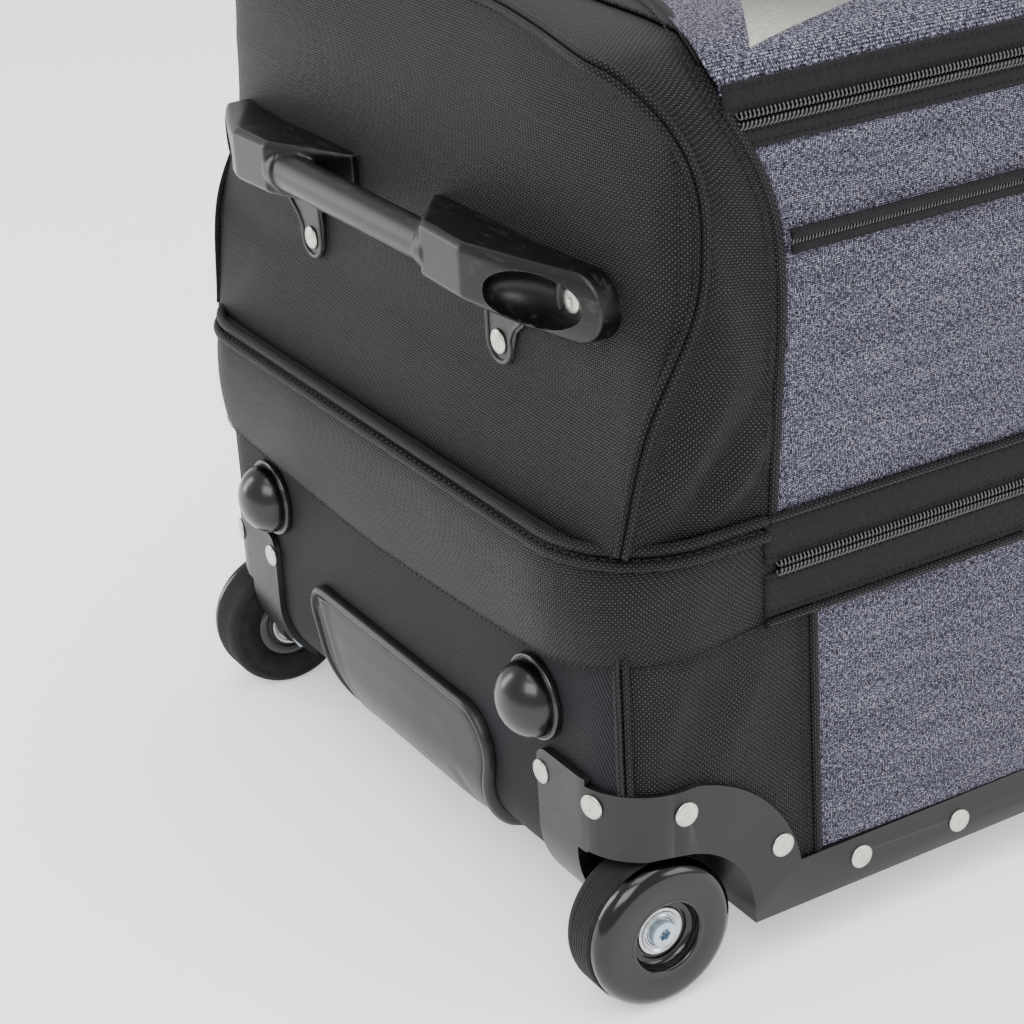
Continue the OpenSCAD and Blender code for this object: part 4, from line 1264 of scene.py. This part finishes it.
def under_profile():
    """Heights down the end face and round under it, evenly spaced along the cloth."""
    q = np.radians(np.linspace(0, 86, 16))
    roll = FLOOR + UNDER - UNDER * np.sin(q)
    return np.concatenate([np.arange(LOWER_TOP, FLOOR + UNDER, -STEP), roll])


def lower_ends():
    """The ribbed end cloths, rolled under at the floor, and the welts at their seams."""
    for far, end in ENDS:
        z = under_profile()[:, None]
        y = LOWER_HALF * np.sin(np.linspace(-1, 1, 81) * math.pi / 2)[None, :]
        x = END_FACE + under_shift(z) + corner_shift(y) * 0.8
        grid = np.stack(np.broadcast_arrays(x, y, z), axis=2)
        creases = [((3, -160, 120), (3, -120, 60), 18, -0.8), ((3, 60, 150), (3, 20, 105), 20, 0.7)]
        grid = drape(grid, (folds(grid, creases) + hand(grid, 0.5, 2.2)) * edge_fade(grid, 5))
        panel(f"lower_{end}_panel", at_end(far, grid), END_CLOTH, "root",
              [f"lower_end_{end}"], keep=clear_of_wheels)
        for side_name, turn in SIDES:
            z = under_profile()[::2]
            z = z if far else z[z > WELL[1] + WELL[2]]
            line = np.column_stack([at_height(LOWER_SEAM_X + under_shift(z), turn * (LOWER_HALF + 0.5)), z])
            _, out, side = frames(line, toward((-0.75, turn * 0.66, 0), line))
            welts = joined([swept(at_end(far, line + side * off), facing(far, out),
                                  round_section(3.4, 2.8, 8))
                            for off in (-1.9, 1.9)])
            shaped(f"lower_{end}_seam_welts_{side_name}", welts, BLACK_CLOTH, "root")


LOWER_CREASES = [((40, -187, 160), (20, -186, 110), 8, 2.0), ((60, -187, 162), (34, -187, 104), 9, -2.2),
                 ((76, -187, 150), (52, -187, 96), 8, 1.4), ((90, -187, 130), (74, -187, 90), 7, -1.2)]


def lower_gusset_grid():
    """Black corner cloth from the end seam round to the coloured side, one side at the wheel end."""
    q = np.radians(np.linspace(18, 90, 12))
    cx, cy = END_FACE + PLAN_CORNER, HALF - PLAN_CORNER
    arc = [(cx - PLAN_CORNER * math.cos(a), cy + PLAN_CORNER * math.sin(a)) for a in q]
    plan = even(np.array([(LOWER_SEAM_X, LOWER_HALF + 0.5)] + arc[2:] + [(97, HALF + 0.6)]), 3.0)
    z = under_profile()[:, None]
    fade = np.clip((52 - plan[:, 0]) / 40, 0, 1)[None, :]
    x = plan[None, :, 0] + under_shift(z) * fade
    lean = np.interp(z, [FLOOR, LOWER_TOP], [3.0, 0.0]) * np.clip((plan[None, :, 0] - 80) / 16, 0, 1)
    grid = np.stack(np.broadcast_arrays(x + lean, -plan[None, :, 1], z), axis=2)
    height = folds(grid, LOWER_CREASES) + hand(grid, 0.5, 5.0) + 0.6
    return drape(grid, height * edge_fade(grid, 3))


def lower_gussets():
    made = []
    for far, end in ENDS:
        for side_name, turn in (("left", -1), ("right", 1)):
            name = f"lower_gusset_{end}_{side_name}"
            grid = at_end(far, lower_gusset_grid() * (1, turn, 1))
            stands_for = [] if made else ["lower_gussets"]
            made.append(panel(name, grid, BLACK_CLOTH, "root", stands_for, 1.6,
                              keep=clear_of_wheels))
            edge = grid[:, -1] + (0, -turn * 0.4, 0)
            n = toward((0, -turn, 0), edge)
            fold = swept(edge, n, round_section(4.2, 2.6, 8))
            shaped(f"{name}_fold", fold, BLACK_CLOTH, "root")
            row = edge + ((6, 0, 0) if far else (-6, 0, 0)) + (0, -turn * 0.8, 0)
            stitches(f"{name}_stitches", [(row, n)], "root", "ballistic_fabric")


LOWER_SIDE_FOLDS = [((110, -184, 150), (170, -184, 110), 14, -1.2),
                    ((330, -184, 140), (420, -184, 90), 18, -1.2),
                    ((500, -184, 90), (600, -184, 140), 16, 1.1)]


def lower_sides():
    """The grey canvas of the lower deck's long sides, tucked over the skid rails."""
    for side_name, turn in (("left", -1), ("right", 1)):
        rolled = 27.5 + 8 * np.cos(np.radians([0, 30, 60, 88]))
        z = np.concatenate([np.arange(LOWER_TOP, 36, -STEP), rolled])[:, None]
        lean = np.interp(z, [FLOOR, LOWER_TOP], [3.0, 0.0])
        u = np.linspace(0, 1, 121)[None, :]
        x = 96 + lean + (BODY - 2 * (96 + lean)) * u
        roll = np.clip((35.5 - z) / 8, 0, 1)
        belly = np.sin(math.pi * np.clip((z - 30) / (LOWER_TOP - 30), 0, 1)) * np.sin(math.pi * u) ** 0.4
        y = -(HALF - 0.2 + 2.2 * belly - 8 * (1 - np.sqrt(1 - roll ** 2)))
        grid = np.stack(np.broadcast_arrays(x, y, z), axis=2)
        relief = folds(grid, LOWER_SIDE_FOLDS) + hand(grid, 0.7, 3.0 + turn)
        grid = drape(grid, relief * edge_fade(grid, 5))
        obj = panel(f"lower_{side_name}_canvas", grid * (1, turn, 1), GREY_CLOTH, "root",
                    [f"lower_side_{side_name}"])
        settle(obj, border(*grid.shape[:2]), 1.2, 2.0, 8)


def underside():
    """Bottom cloth, a little slack between the skids, with a welt round its edge."""
    x = np.linspace(43, BODY - 43, 121)[None, :]
    y = np.linspace(-LOWER_HALF, LOWER_HALF, 61)[:, None]
    sag = 1.6 * np.sin(math.pi * (x - 43) / (BODY - 86)) * np.cos(math.pi * y / (2 * LOWER_HALF))
    grid = np.stack(np.broadcast_arrays(x, y, FLOOR + 0.4 - sag), axis=2)
    grid = drape(grid, hand(grid, 0.5, 6.0) * edge_fade(grid, 4))
    panel("bottom_cloth", grid, BLACK_CLOTH, "root", ["bottom_panel"],
          keep=clear_of_wheels)
    for side_name, turn in SIDES:
        along = np.linspace(WELL[0] + WELL[2] + 4, BODY - 46, 160)
        line = at_height(at_height(along, turn * (LOWER_HALF + 1)), FLOOR + 0.6)
        welt = swept(line, toward((0, turn * 0.6, -0.8), line), round_section(4.5, 4.5, 10))
        shaped(f"bottom_welt_{side_name}", welt, BLACK_CLOTH, "root")


# ---------------------------------------------------------------- moulded hardware


def rivet_profile(radius=5.5, head=1.45):
    """Domed head with a turned ring and a dimple at its middle."""
    return [(radius * 0.93, -0.3), (radius, 0.1),
            (radius * 0.985, head * 0.45), (radius * 0.9, head * 0.78),
            (radius * 0.7, head * 0.95), (radius * 0.42, head), (radius * 0.3, head * 0.97),
            (radius * 0.2, head * 0.72), (radius * 0.08, head * 0.62), (0.0, head * 0.62)]


def rivet_set(name, spots, body, replaces, radius=5.5):
    heads = joined([lathe(rivet_profile(radius), place, axis, 40) for place, axis in spots])
    return shaped(name, heads, RIVET, body, replaces)


SIDE_RIVETS = [(31.6, 90.2), (79.5, 57.5), (121, 36), (175, 34), (228, 34)]
FOOT_RIVETS = [(650, 36), (695, 36)]
END_RIVETS = [(127.2, 92.5, 0.0), (163.8, 93, 17.0)]


def base_rivets():
    side_face = reach("wheel_housing_left", 1, 1)
    spots = []
    for turn in (-1, 1):
        for x, z in SIDE_RIVETS + FOOT_RIVETS:
            spots.append(((x, turn * side_face, z), (0, turn, 0)))
        for y, z, lean in END_RIVETS:
            q = math.radians(lean)
            back = 33 * (1 - math.cos(q))
            spots.append(((back, turn * y, z), (-math.cos(q), turn * math.sin(q), 0)))
    rivet_set("base_rivet_heads", spots, "root", ["base_rivets"])


def bumper_domes():
    """Rubber half balls on rimmed flanges."""
    top = -reach("bumper_domes", 0, 0)
    z = (reach("bumper_domes", 0, 2) + reach("bumper_domes", 1, 2)) / 2
    y = reach("bumper_domes", 1, 1) - 19
    rise = np.radians(np.linspace(0, 90, 22))
    dome = [(16.9 * math.cos(q), 0.8 + (top - 0.8) * math.sin(q)) for q in rise]
    profile = [(18.6, -END_FACE), (19.0, -2.2), (19.0, -0.9), (18.8, -0.1), (18.3, 0.25), (17.8, 0.2),
               (17.4, -0.3), (17.1, -0.4), (16.95, 0.1)] + dome
    parts = joined([lathe(profile, (0, turn * y, z), (-1, 0, 0), 72) for turn in (-1, 1)])
    shaped("bumper_dome_pair", parts, DOME, "root", ["bumper_domes"])


def rounded_outline(corners, radii, step=3.0):
    """Closed outline with round corners, evenly spaced."""
    corners = np.array(corners, float)
    points = []
    for i, (c, r) in enumerate(zip(corners, radii)):
        before = unit(corners[i - 1] - c)
        after = unit(corners[(i + 1) % len(corners)] - c)
        half = math.acos(np.clip(before @ after, -1, 1)) / 2
        reach_along = r / math.tan(half)
        middle = c + unit(before + after) * r / math.sin(half)
        a, b = c + before * reach_along, c + after * reach_along
        for w in np.linspace(0, 1, 9):
            d = unit((a - middle) * (1 - w) + (b - middle) * w)
            points.append(middle + d * r)
    points = np.array(points + [points[0]])
    return even(points, step)[:-1]


def inset_corners(corners, depth):
    """The corners of a convex outline with every side moved in by depth."""
    corners = np.array(corners, float)
    out = []
    area = np.sum(corners[:, 0] * np.roll(corners[:, 1], -1) - np.roll(corners[:, 0], -1) * corners[:, 1])
    sign = 1 if area > 0 else -1
    for i, c in enumerate(corners):
        d0 = unit(c - corners[i - 1])
        d1 = unit(corners[(i + 1) % len(corners)] - c)
        n0 = np.array([-d0[1], d0[0]]) * sign
        n1 = np.array([-d1[1], d1[0]]) * sign
        out.append(c + (n0 + n1) * depth / (1 + n0 @ n1))
    return np.array(out)


def kick_plate():
    """Rubbed lower guard: raised lip, slit, slanted rib on one side, wrapped under the end."""
    top = reach("kick_plate", 1, 2)
    half = reach("kick_plate", 1, 1)
    skin = UNDER + 5
    straight = top - (FLOOR + UNDER)
    deep = straight + skin * math.radians(88)
    corners = [(-half, 0.5), (half, 0.5), (half - 46, deep), (-half + 24, deep)]
    radii = [22, 12, 16, 8]
    lip = [(0.0, -4.6), (0.15, -1.6), (0.8, -0.3), (1.8, 0.3), (3.0, 0.25), (3.9, -0.4), (4.3, -2.2),
           (4.8, -2.3), (5.2, -0.9), (6.0, -0.5)]
    rings = []
    for inset, rise in lip:
        outline = rounded_outline(inset_corners(corners, inset), [max(r - inset, 2.0) for r in radii], 2.2)
        rings.append((outline, rise))
    count = len(rings[0][0])
    centre = np.mean(rings[-1][0], axis=0)
    layers = []
    for outline, rise in rings:
        closed = np.vstack([outline, outline[:1]])
        s = lengths(closed)
        t = np.linspace(0, s[-1], count, endpoint=False)
        layers.append((np.stack([np.interp(t, s, closed[:, i]) for i in (0, 1)], axis=1), rise))
    last = layers[-1][0]
    for w in np.linspace(0.06, 1, 22):
        layers.append((last * (1 - w) + centre * w, -0.5 + 0.9 * min(1, w * 3)))
    rib_a, rib_b = np.array([half - 13, 8.0]), np.array([half - 56, deep - 4])
    arc_a, arc_b = np.array([-half + 36, 42.0]), np.array([-half + 14, deep - 6])
    points = []
    for flat, rise in layers:
        for y, s in flat:
            extra = 0.0
            for a, b, width, size in ((rib_a, rib_b, 2.6, -1.5),
                                      (rib_a + (-6, 0), rib_b + (-6, 0), 3.5, 0.8),
                                      (arc_a, arc_b, 3.0, -0.7)):
                t = np.clip(((y, s) - a) @ (b - a) / ((b - a) @ (b - a)), 0, 1)
                gap = np.linalg.norm((y, s) - a - t * (b - a))
                extra += size * math.exp(-(gap / width) ** 2) if rise > -0.6 else 0
            h = rise + extra
            if s <= straight:
                points.append((END_FACE - 5 - h, y, top - s))
            else:
                q = (s - straight) / skin
                points.append((END_FACE + UNDER - (skin + h) * math.cos(q), y,
                               FLOOR + UNDER - (skin + h) * math.sin(q)))
    faces = grid_faces(len(layers), count, True)
    piece("kick_guard", points, faces, PLATE, "root", None, ["kick_plate"])


# ---------------------------------------------------------------- wheels


def wheels():
    z = (reach("tyre_left", 0, 2) + reach("tyre_left", 1, 2)) / 2
    x = (reach("tyre_left", 0, 0) + reach("tyre_left", 1, 0)) / 2
    outer, inner = reach("tyre_left", 1, 1), reach("tyre_left", 0, 1)
    radius = z
    width = outer - inner
    tread_side = [(radius - 7.5, 0.4)] + corner((radius - 5.0, 4.8), 4.8, -80, 0, 7)
    ribs = []
    for k in range(7):
        start = 5.2 + k * (width - 14.5) / 7
        ribs += [(radius, start), (radius, start + 1.5),
                 (radius - 0.25, start + 1.7), (radius - 0.25, start + 1.9)]
    tyre = [(18.6, 0.6)] + tread_side + ribs + [(radius, width - 9.0), (radius - 0.35, width - 8.2)]
    face = [(radius - 0.75, width - 8.3), (radius - 0.55, width - 7.8), (radius - 0.75, width - 6.4),
            *corner((radius - 7.2, width - 6.8), 6.6, 8, 82, 9), (21.5, width - 0.15), (18.4, width - 0.5),
            *corner((17.0, width - 1.6), 1.25, 60, 170, 5), (15.5, width - 3.2), (15.2, width - 6.3),
            (12.6, width - 6.9), (11.9, width - 6.6), (11.1, width - 6.7), (11.1, width - 12),
            (14, width - 14), (radius - 3, width - 14)]
    for side_name, turn in (("left", 1), ("right", -1)):
        place, axis = (x, turn * inner, z), (0, turn, 0)
        body = f"wheel_{side_name}"
        closing = tyre + [(radius - 3, width - 9), (18.6, width - 9), (18.6, 0.6)]
        t = lathe(closing, place, axis, 128)
        shaped(f"wheel_tread_{side_name}", t, TREAD, body, [f"tyre_{side_name}"])
        f = lathe(face + [face[0]], place, axis, 128)
        shaped(f"wheel_face_{side_name}", f, WHEEL_FACE, body, [f"hub_{side_name}"])
        back = [(18.4, 0.8), (18.4, 3.0), (11.1, 3.0), (11.1, 0.8), (18.4, 0.8)]
        b = lathe(back, place, axis, 96)
        shaped(f"wheel_back_{side_name}", b, WHEEL_FACE, body)
        seat = width - 6.5
        shield = [(10.9, seat - 4), (10.9, seat + 0.3), (10.5, seat + 0.5),
                  (9.2, seat + 0.45), (8.8, seat - 0.4),
                  (7.6, seat - 0.55), (7.4, seat + 0.3), (6.5, seat + 0.4), (6.3, seat - 4),
                  (10.9, seat - 4)]
        s = lathe(shield, place, axis, 96)
        shaped(f"bearing_shield_{side_name}", s, BEARING, body)
        bolt = [(5.8, seat - 1.0), (5.8, seat + 0.9), (5.5, seat + 1.4), (4.6, seat + 2.0),
                (3.3, seat + 2.5),
                (2.9, seat + 2.5), (2.7, seat + 1.2), (0.0, seat + 1.0)]
        h = lathe(bolt, place, axis, 48)
        cross = []
        for q in (0.4, 0.4 + math.pi / 2):
            d, e = np.array([math.cos(q), 0, math.sin(q)]), np.array([-math.sin(q), 0, math.cos(q)])
            top_y = turn * (inner + seat + 2.1)
            bar = [np.array((x, 0, z)) + d * a * 2.6 + e * c * 0.5 + (0, top_y - turn * (1 - g) * 0.9, 0)
                   for g in (0, 1) for a, c in ((-1, -1), (1, -1), (1, 1), (-1, 1))]
            cross.append((bar, [[0, 1, 2, 3], [7, 6, 5, 4], [0, 4, 5, 1],
                                [1, 5, 6, 2], [2, 6, 7, 3], [3, 7, 4, 0]],
                          np.zeros((8, 2))))
        bolt_all = joined([h] + cross)
        shaped(f"axle_bolt_head_{side_name}", bolt_all, ZINC, "root")


# ---------------------------------------------------------------- grab handle


def hull_of(points):
    """Faces and corners of the convex body round a set of points."""
    bm = bmesh.new()
    for p in points:
        bm.verts.new(p)
    out = bmesh.ops.convex_hull(bm, input=bm.verts)
    loose = {v for v in out["geom_interior"] + out["geom_unused"] if isinstance(v, bmesh.types.BMVert)}
    bmesh.ops.delete(bm, geom=list(loose), context="VERTS")
    bm.verts.index_update()
    points = [tuple(v.co) for v in bm.verts]
    faces = [[v.index for v in f.verts] for f in bm.faces]
    bm.free()
    return np.array(points), faces, np.zeros((len(points), 2))


def rod(x0, x1, y, z, radius, sides=40):
    a = np.arange(sides) * 2 * math.pi / sides
    return [(x, y + radius * math.cos(q), z + radius * math.sin(q)) for x in (x0, x1) for q in a]


def carve(obj, cutter_set, name):
    """Takes a closed shape out of a piece."""
    cutter = shaped(name, cutter_set, HANDLE, None)
    cut = obj.modifiers.new("cut", "BOOLEAN")
    cut.operation = "DIFFERENCE"
    cut.solver = "EXACT"
    cut.object = cutter
    return cutter


def baked(obj, extra=()):
    """Applies a piece's modifiers to its mesh."""
    done = obj.evaluated_get(bpy.context.evaluated_depsgraph_get())
    mesh = bpy.data.meshes.new_from_object(done)
    obj.modifiers.clear()
    old = obj.data
    obj.data = mesh
    bpy.data.meshes.remove(old)
    for other in extra:
        bpy.data.objects.remove(other)
    return obj


GRAB_Z = 306.0
GRAB_BACK = reach("grab_handle", 1, 0)
GRAB_FRONT = reach("grab_handle", 0, 0)
GRAB_RIVET = (143.0, 301.0)
TAB_RIVET = (83.2, 266.3)


def grab_bend(y):
    """How far the ends of the handle bend back with the panel."""
    return 4.5 * (np.clip(np.abs(y) - 104, 0, 100) / 56) ** 2


def handle_foot(turn):
    """One end of the handle: a chamfered block that slopes to the panel, and its rivet tab."""
    front, back = GRAB_FRONT, GRAB_BACK + 0.8
    front_rows = [(70, front, 319.5, 295), (101, front, 318.5, 294)]
    middle_rows = [(101, front, 318.5, 294), (126, front + 10.5, 316.5, 288.5),
                   (147, back - 11, 315.5, 286.5)]
    blocks = []
    for rows, wall_rows in ((front_rows, ((36, 316, 291), (112, 315, 289))),
                            (middle_rows, ((101, 315, 289), (146, 313, 287)))):
        block = []
        for y, x, top, low in rows:
            block += [(x + 2.4, y, top), (x, y, top - 2.4), (x, y, low + 2.4), (x + 2.4, y, low)]
        for y, top, low in wall_rows:
            block += [(back, y, top), (back, y, low), (back - 4, y, top), (back - 4, y, low)]
        if rows is middle_rows:
            block += rod(back - 10.5, back, 149, 301, 14.6)
        blocks.append(hull_of([(x, turn * y, z) for x, y, z in block]))
    tab = rod(back - 3.6, back, *TAB_RIVET, 10)
    tab += [(x, y, 294) for x in (back - 3.6, back) for y in (72, 104)]
    blocks.append(hull_of([(x, turn * y, z) for x, y, z in tab]))
    brace = [(x, y, z) for x in (back - 3.6, back) for y, z in ((92, 270), (118, 290), (80, 292))]
    blocks.append(hull_of([(x, turn * y, z) for x, y, z in brace]))
    neck = [(GRAB_FRONT + 9.4 - 10.2 * math.cos(q), y, GRAB_Z + 10.2 * math.sin(q))
            for y in (64, 71) for q in np.radians(np.linspace(-86, 86, 14))]
    neck += [(6, y, GRAB_Z + dz) for y in (64, 71) for dz in (-9, 9)]
    blocks.append(hull_of([(x, turn * y, z) for x, y, z in neck]))
    return blocks


def grab_bar():
    bar = []
    for y in np.linspace(-72, 72, 25):
        swell = 8.9 + 0.35 * math.cos(math.pi * y / 144)
        bar += [(GRAB_FRONT + 9.4 - swell * math.cos(q), y, GRAB_Z + swell * math.sin(q))
                for q in np.radians(np.linspace(-88, 88, 24))]
        bar += [(GRAB_FRONT + 13, y, GRAB_Z - 7), (GRAB_FRONT + 13, y, GRAB_Z + 7)]
    return hull_of(bar)


def grab_handle():
    shapes = joined([grab_bar()] + handle_foot(1) + handle_foot(-1))
    obj = shaped("grab_handle_moulding", shapes, HANDLE, "upper_deck", ["grab_handle"])
    remesh = obj.modifiers.new("blend", "REMESH")
    remesh.mode = "VOXEL"
    remesh.voxel_size = 0.8 * MM
    ease = obj.modifiers.new("ease", "SMOOTH")
    ease.factor = 0.5
    ease.iterations = 4
    cutters = []
    for turn in (-1, 1):
        scoop = hull_of(ellipsoid((-1.5, turn * 136, 301.4), (16.5, 25, 11.8)))
        cutters.append(carve(obj, scoop, f"scoop_{turn + 1}"))
    obj = baked(obj, cutters)
    co = np.array([v.co for v in obj.data.vertices])
    co[:, 0] += grab_bend(co[:, 1] / MM) * MM
    obj.data.vertices.foreach_set("co", co.astype(np.float32).ravel())
    obj.data.materials.clear()
    obj.data.materials.append(HANDLE.material)
    obj.data.polygons.foreach_set("use_smooth", [True] * len(obj.data.polygons))
    obj.data.set_sharp_from_angle(angle=math.radians(34))
    y, z = GRAB_RIVET
    seat = GRAB_BACK - 5.5 + grab_bend(y)
    boss = [(11.4, -4), (11.2, 0.9), (10.6, 1.9), (8.8, 2.2), (7.9, 1.8), (7.2, 0.9), (6.8, 0.6), (0, 0.6)]
    parts = joined([lathe(boss, (seat, turn * y, z), (-1, 0, 0), 56) for turn in (-1, 1)])
    shaped("grab_handle_bosses", parts, HANDLE, "upper_deck")
    tab_face = GRAB_BACK - 2.9
    spots = [((seat - 0.6, turn * y, z), (-1, 0, 0)) for turn in (-1, 1)]
    spots += [((tab_face, turn * TAB_RIVET[0], TAB_RIVET[1]), (-1, 0, 0)) for turn in (-1, 1)]
    rivet_set("grab_rivet_heads", spots, "upper_deck", ["grab_handle_rivets"])
    rims = []
    for turn in (-1, 1):
        a = np.radians(np.linspace(180, 380, 22))
        arc = [(tab_face, turn * (TAB_RIVET[0] + 8.8 * math.cos(q)), TAB_RIVET[1] + 8.8 * math.sin(q))
               for q in a]
        tail = [(tab_face, turn * y, z) for y, z in ((95, 275), (102, 280.5), (113, 288))]
        head = [(tab_face, turn * 74.4, z) for z in (290, 280)]
        line = even(np.array(head + arc + tail), 2.0)
        rims.append(swept(line, toward((-1.0, 0, 0), line), round_section(2.2, 1.8, 8)))
    rim = joined(rims)
    shaped("grab_handle_tab_rims", rim, HANDLE, "upper_deck")


def ellipsoid(centre, radii, rings=20, sides=36):
    points = []
    for p in np.linspace(-math.pi / 2, math.pi / 2, rings):
        for q in np.arange(sides) * 2 * math.pi / sides:
            points.append((centre[0] + radii[0] * math.cos(p) * math.cos(q),
                           centre[1] + radii[1] * math.sin(p),
                           centre[2] + radii[2] * math.cos(p) * math.sin(q)))
    return points


# ---------------------------------------------------------------- carry straps

STRAP_LEGS = (265.0, 465.0)
STRAP_WIDE = 38.0
STRAP_LOW = 239.0
STRAP_TOP = 339.0


def carry_straps():
    """Ribbed webbing loop on each side, with a wrap to hold it by."""
    turn_r = 26.0
    bottom = STRAP_LOW + STRAP_WIDE / 2
    knots = [(STRAP_LEGS[0], z) for z in np.linspace(STRAP_TOP, bottom + turn_r, 12)]
    knots += [(STRAP_LEGS[0] + turn_r * (1 - math.cos(q)), bottom + turn_r * (1 - math.sin(q)))
              for q in np.radians(np.linspace(10, 90, 8))]
    middle = (STRAP_LEGS[0] + STRAP_LEGS[1]) / 2
    knots += [(x, bottom) for x in np.arange(STRAP_LEGS[0] + turn_r + 6, middle, 6)]
    half = np.array(knots)
    whole = np.vstack([half, half[::-1] * (-1, 1) + (2 * middle, 0)])
    for side_name, turn in (("left", 1), ("right", -1)):
        y = turn * (reach("carry_strap_left", 0, 1) + 1.5)
        path = even(np.column_stack([whole[:, 0], np.full(len(whole), y), whole[:, 1]]), 3)
        n = toward((0.0, turn, 0.0), path)
        ribs = np.linspace(-1, 1, 18)
        top = [(r * STRAP_WIDE / 2 * 0.985, 1.3 + 0.18 * math.cos(k * math.pi) - 0.5 * abs(r) ** 6)
               for k, r in enumerate(ribs)]
        low = [(a, -b) for a, b in top[::-1]]
        web = swept(path, n, top + low)
        body = f"strap_{side_name}"
        shaped(f"carry_strap_webbing_{side_name}", web, WEBBING, body,
               [f"carry_strap_{side_name}"])
        rows = []
        _, out, side = frames(path, n)
        for off in (-STRAP_WIDE / 2 + 3, STRAP_WIDE / 2 - 3):
            rows.append((path + side * off + out * 1.2, n))
        stitches(f"carry_strap_stitches_{side_name}", rows, body, "webbing", pitch=4.4)
        span = np.arange(middle - 52, middle + 53, 4.0)
        line = np.column_stack([span, np.full(len(span), y), np.full(len(span), bottom)])
        nn = toward((0.0, turn, 0.0), line)
        wrap_half = STRAP_WIDE / 2 + 1.4
        section = [(wrap_half * math.cos(q) * (1 - 0.06 * math.cos(2 * q)),
                    (2.9 if abs(math.sin(q)) > 0.3 else 2.6)
                     * math.copysign(abs(math.sin(q)) ** 0.6, math.sin(q)))
                   for q in np.linspace(0, 2 * math.pi, 40, endpoint=False)]
        wrap = swept(line, nn, section)
        obj = shaped(f"carry_strap_wrap_{side_name}", wrap, BLACK_CLOTH, body)


def strap_anchors():
    """Webbing patches sewn to the side with a box of stitches."""
    rows = {1: [], -1: []}
    parts = []
    low = reach("strap_anchors", 0, 2)
    high = reach("strap_anchors", 1, 2)
    for turn in (-1, 1):
        for x in STRAP_LEGS:
            y = turn * (HALF + 2.6)
            z = np.arange(low, high + 0.1, 2.5)
            line = np.column_stack([np.full(len(z), x), np.full(len(z), y), z])
            n = toward((0.0, turn, 0.0), z)
            parts.append(swept(line, n, flat_section(STRAP_WIDE, 2.6)))
            root = np.array([(x, turn * (HALF + 4), low + 4), (x, turn * (HALF + 8), low + 4.2)])
            parts.append(swept(even(root, 2), toward((0, 0, 1), even(root, 2)),
                               flat_section(STRAP_WIDE - 1, 5.0)))
            w, a, b = STRAP_WIDE / 2 - 4, low + 3, high - 3
            square = [(x - w, a), (x + w, a), (x + w, b), (x - w, b), (x - w, a)]
            diagonals = [((x - w, a), (x + w, b)), ((x - w, b), (x + w, a))]
            for (x0, z0), (x1, z1) in list(zip(square, square[1:])) + diagonals:
                edge = even(np.array([(x0, y + turn * 2.4, z0), (x1, y + turn * 2.4, z1)]), 3)
                rows[turn].append((edge, toward((0.0, turn, 0.0), edge)))
    patches = joined(parts)
    shaped("strap_anchor_webbing", patches, WEBBING, "upper_deck",
          ["strap_anchors"])
    stitches("strap_anchor_stitches", rows[1] + rows[-1], "upper_deck", "webbing", pitch=3.0, length=2.2)


# ---------------------------------------------------------------- inside


def softened(node, name, finish, body, voxel, rounds):
    """A foam or padded board: the CAD shape with its edges eased and its faces a little uneven."""
    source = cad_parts[node]
    mesh = source.data.copy()
    mesh.name = name
    obj = bpy.data.objects.new(name, mesh)
    bpy.context.scene.collection.objects.link(obj)
    weld = obj.modifiers.new("weld", "WELD")
    weld.merge_threshold = 0.00001
    remesh = obj.modifiers.new("skin", "REMESH")
    remesh.mode = "VOXEL"
    remesh.voxel_size = voxel * MM
    ease = obj.modifiers.new("ease", "SMOOTH")
    ease.factor = 0.5
    ease.iterations = rounds
    baked(obj)
    co = np.array([v.co for v in obj.data.vertices])
    spread = np.zeros((len(co), 3), np.float32)
    spread[:, :2] = co[:, :2]
    obj.data.attributes.new("cloth", "FLOAT_VECTOR", "POINT").data.foreach_set("vector", spread.ravel())
    obj.data.materials.clear()
    obj.data.materials.append(finish.material)
    obj.data.polygons.foreach_set("use_smooth", [True] * len(obj.data.polygons))
    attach(obj, body)
    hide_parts(node)
    return obj


def inside():
    softened("ball_tray", "ball_tray_foam", FOAM, "root", 3.5, 4)
    softened("divider_panel", "divider_pad", LINING, "upper_deck", 1.4, 2)


# ---------------------------------------------------------------- kept CAD parts

KEPT = {
    "wheel_housing_left": (HOUSING, 0.9), "wheel_housing_right": (HOUSING, 0.9),
    "corner_foot_left": (HOUSING, 1.2), "corner_foot_right": (HOUSING, 1.2),
    "handle_bezel": (HOUSING, 1.5), "grip_shell": (HANDLE, 2.5), "release_button": (WHEEL_FACE, 0.8),
    "outer_tubes": (TUBE, 0.4), "inner_tubes": (TUBE, 0.4), "release_yoke": (TUBE, 0.3),
    "axle_bolt_left": (ZINC, 0.3), "axle_bolt_right": (ZINC, 0.3), "axle_nuts": (ZINC, 0.4),
    "bearing_inner_left": (BEARING, 0.2), "bearing_inner_right": (BEARING, 0.2),
    "bearing_outer_left": (BEARING, 0.2), "bearing_outer_right": (BEARING, 0.2),
    "bearing_spacers": (ZINC, 0.2), "base_board": (BOARD, 0.5),
    "deck_zip_slider": (SLIDER, 0.5), "deck_zip_pull": (SLIDER, 0.45),
    "lid_zip_slider": (SLIDER, 0.5), "lid_zip_pull": (SLIDER, 0.45),
    "pocket_zip_slider": (SLIDER, 0.5), "pocket_zip_pull": (SLIDER, 0.45),
}


def build():
    photographer()
    studio()
    upper_ends()
    upper_gussets()
    end_seam_trim()
    side_seam_trim()
    upper_sides()
    lid()
    lid_zip()
    deck_zip()
    pocket_zip()
    hinge_band()
    band_piping()
    lower_ends()
    lower_gussets()
    lower_sides()
    underside()
    base_rivets()
    bumper_domes()
    kick_plate()
    wheels()
    grab_handle()
    carry_straps()
    strap_anchors()
    inside()
    for node, (finish, width) in KEPT.items():
        bevelled(node, finish, width)


build()
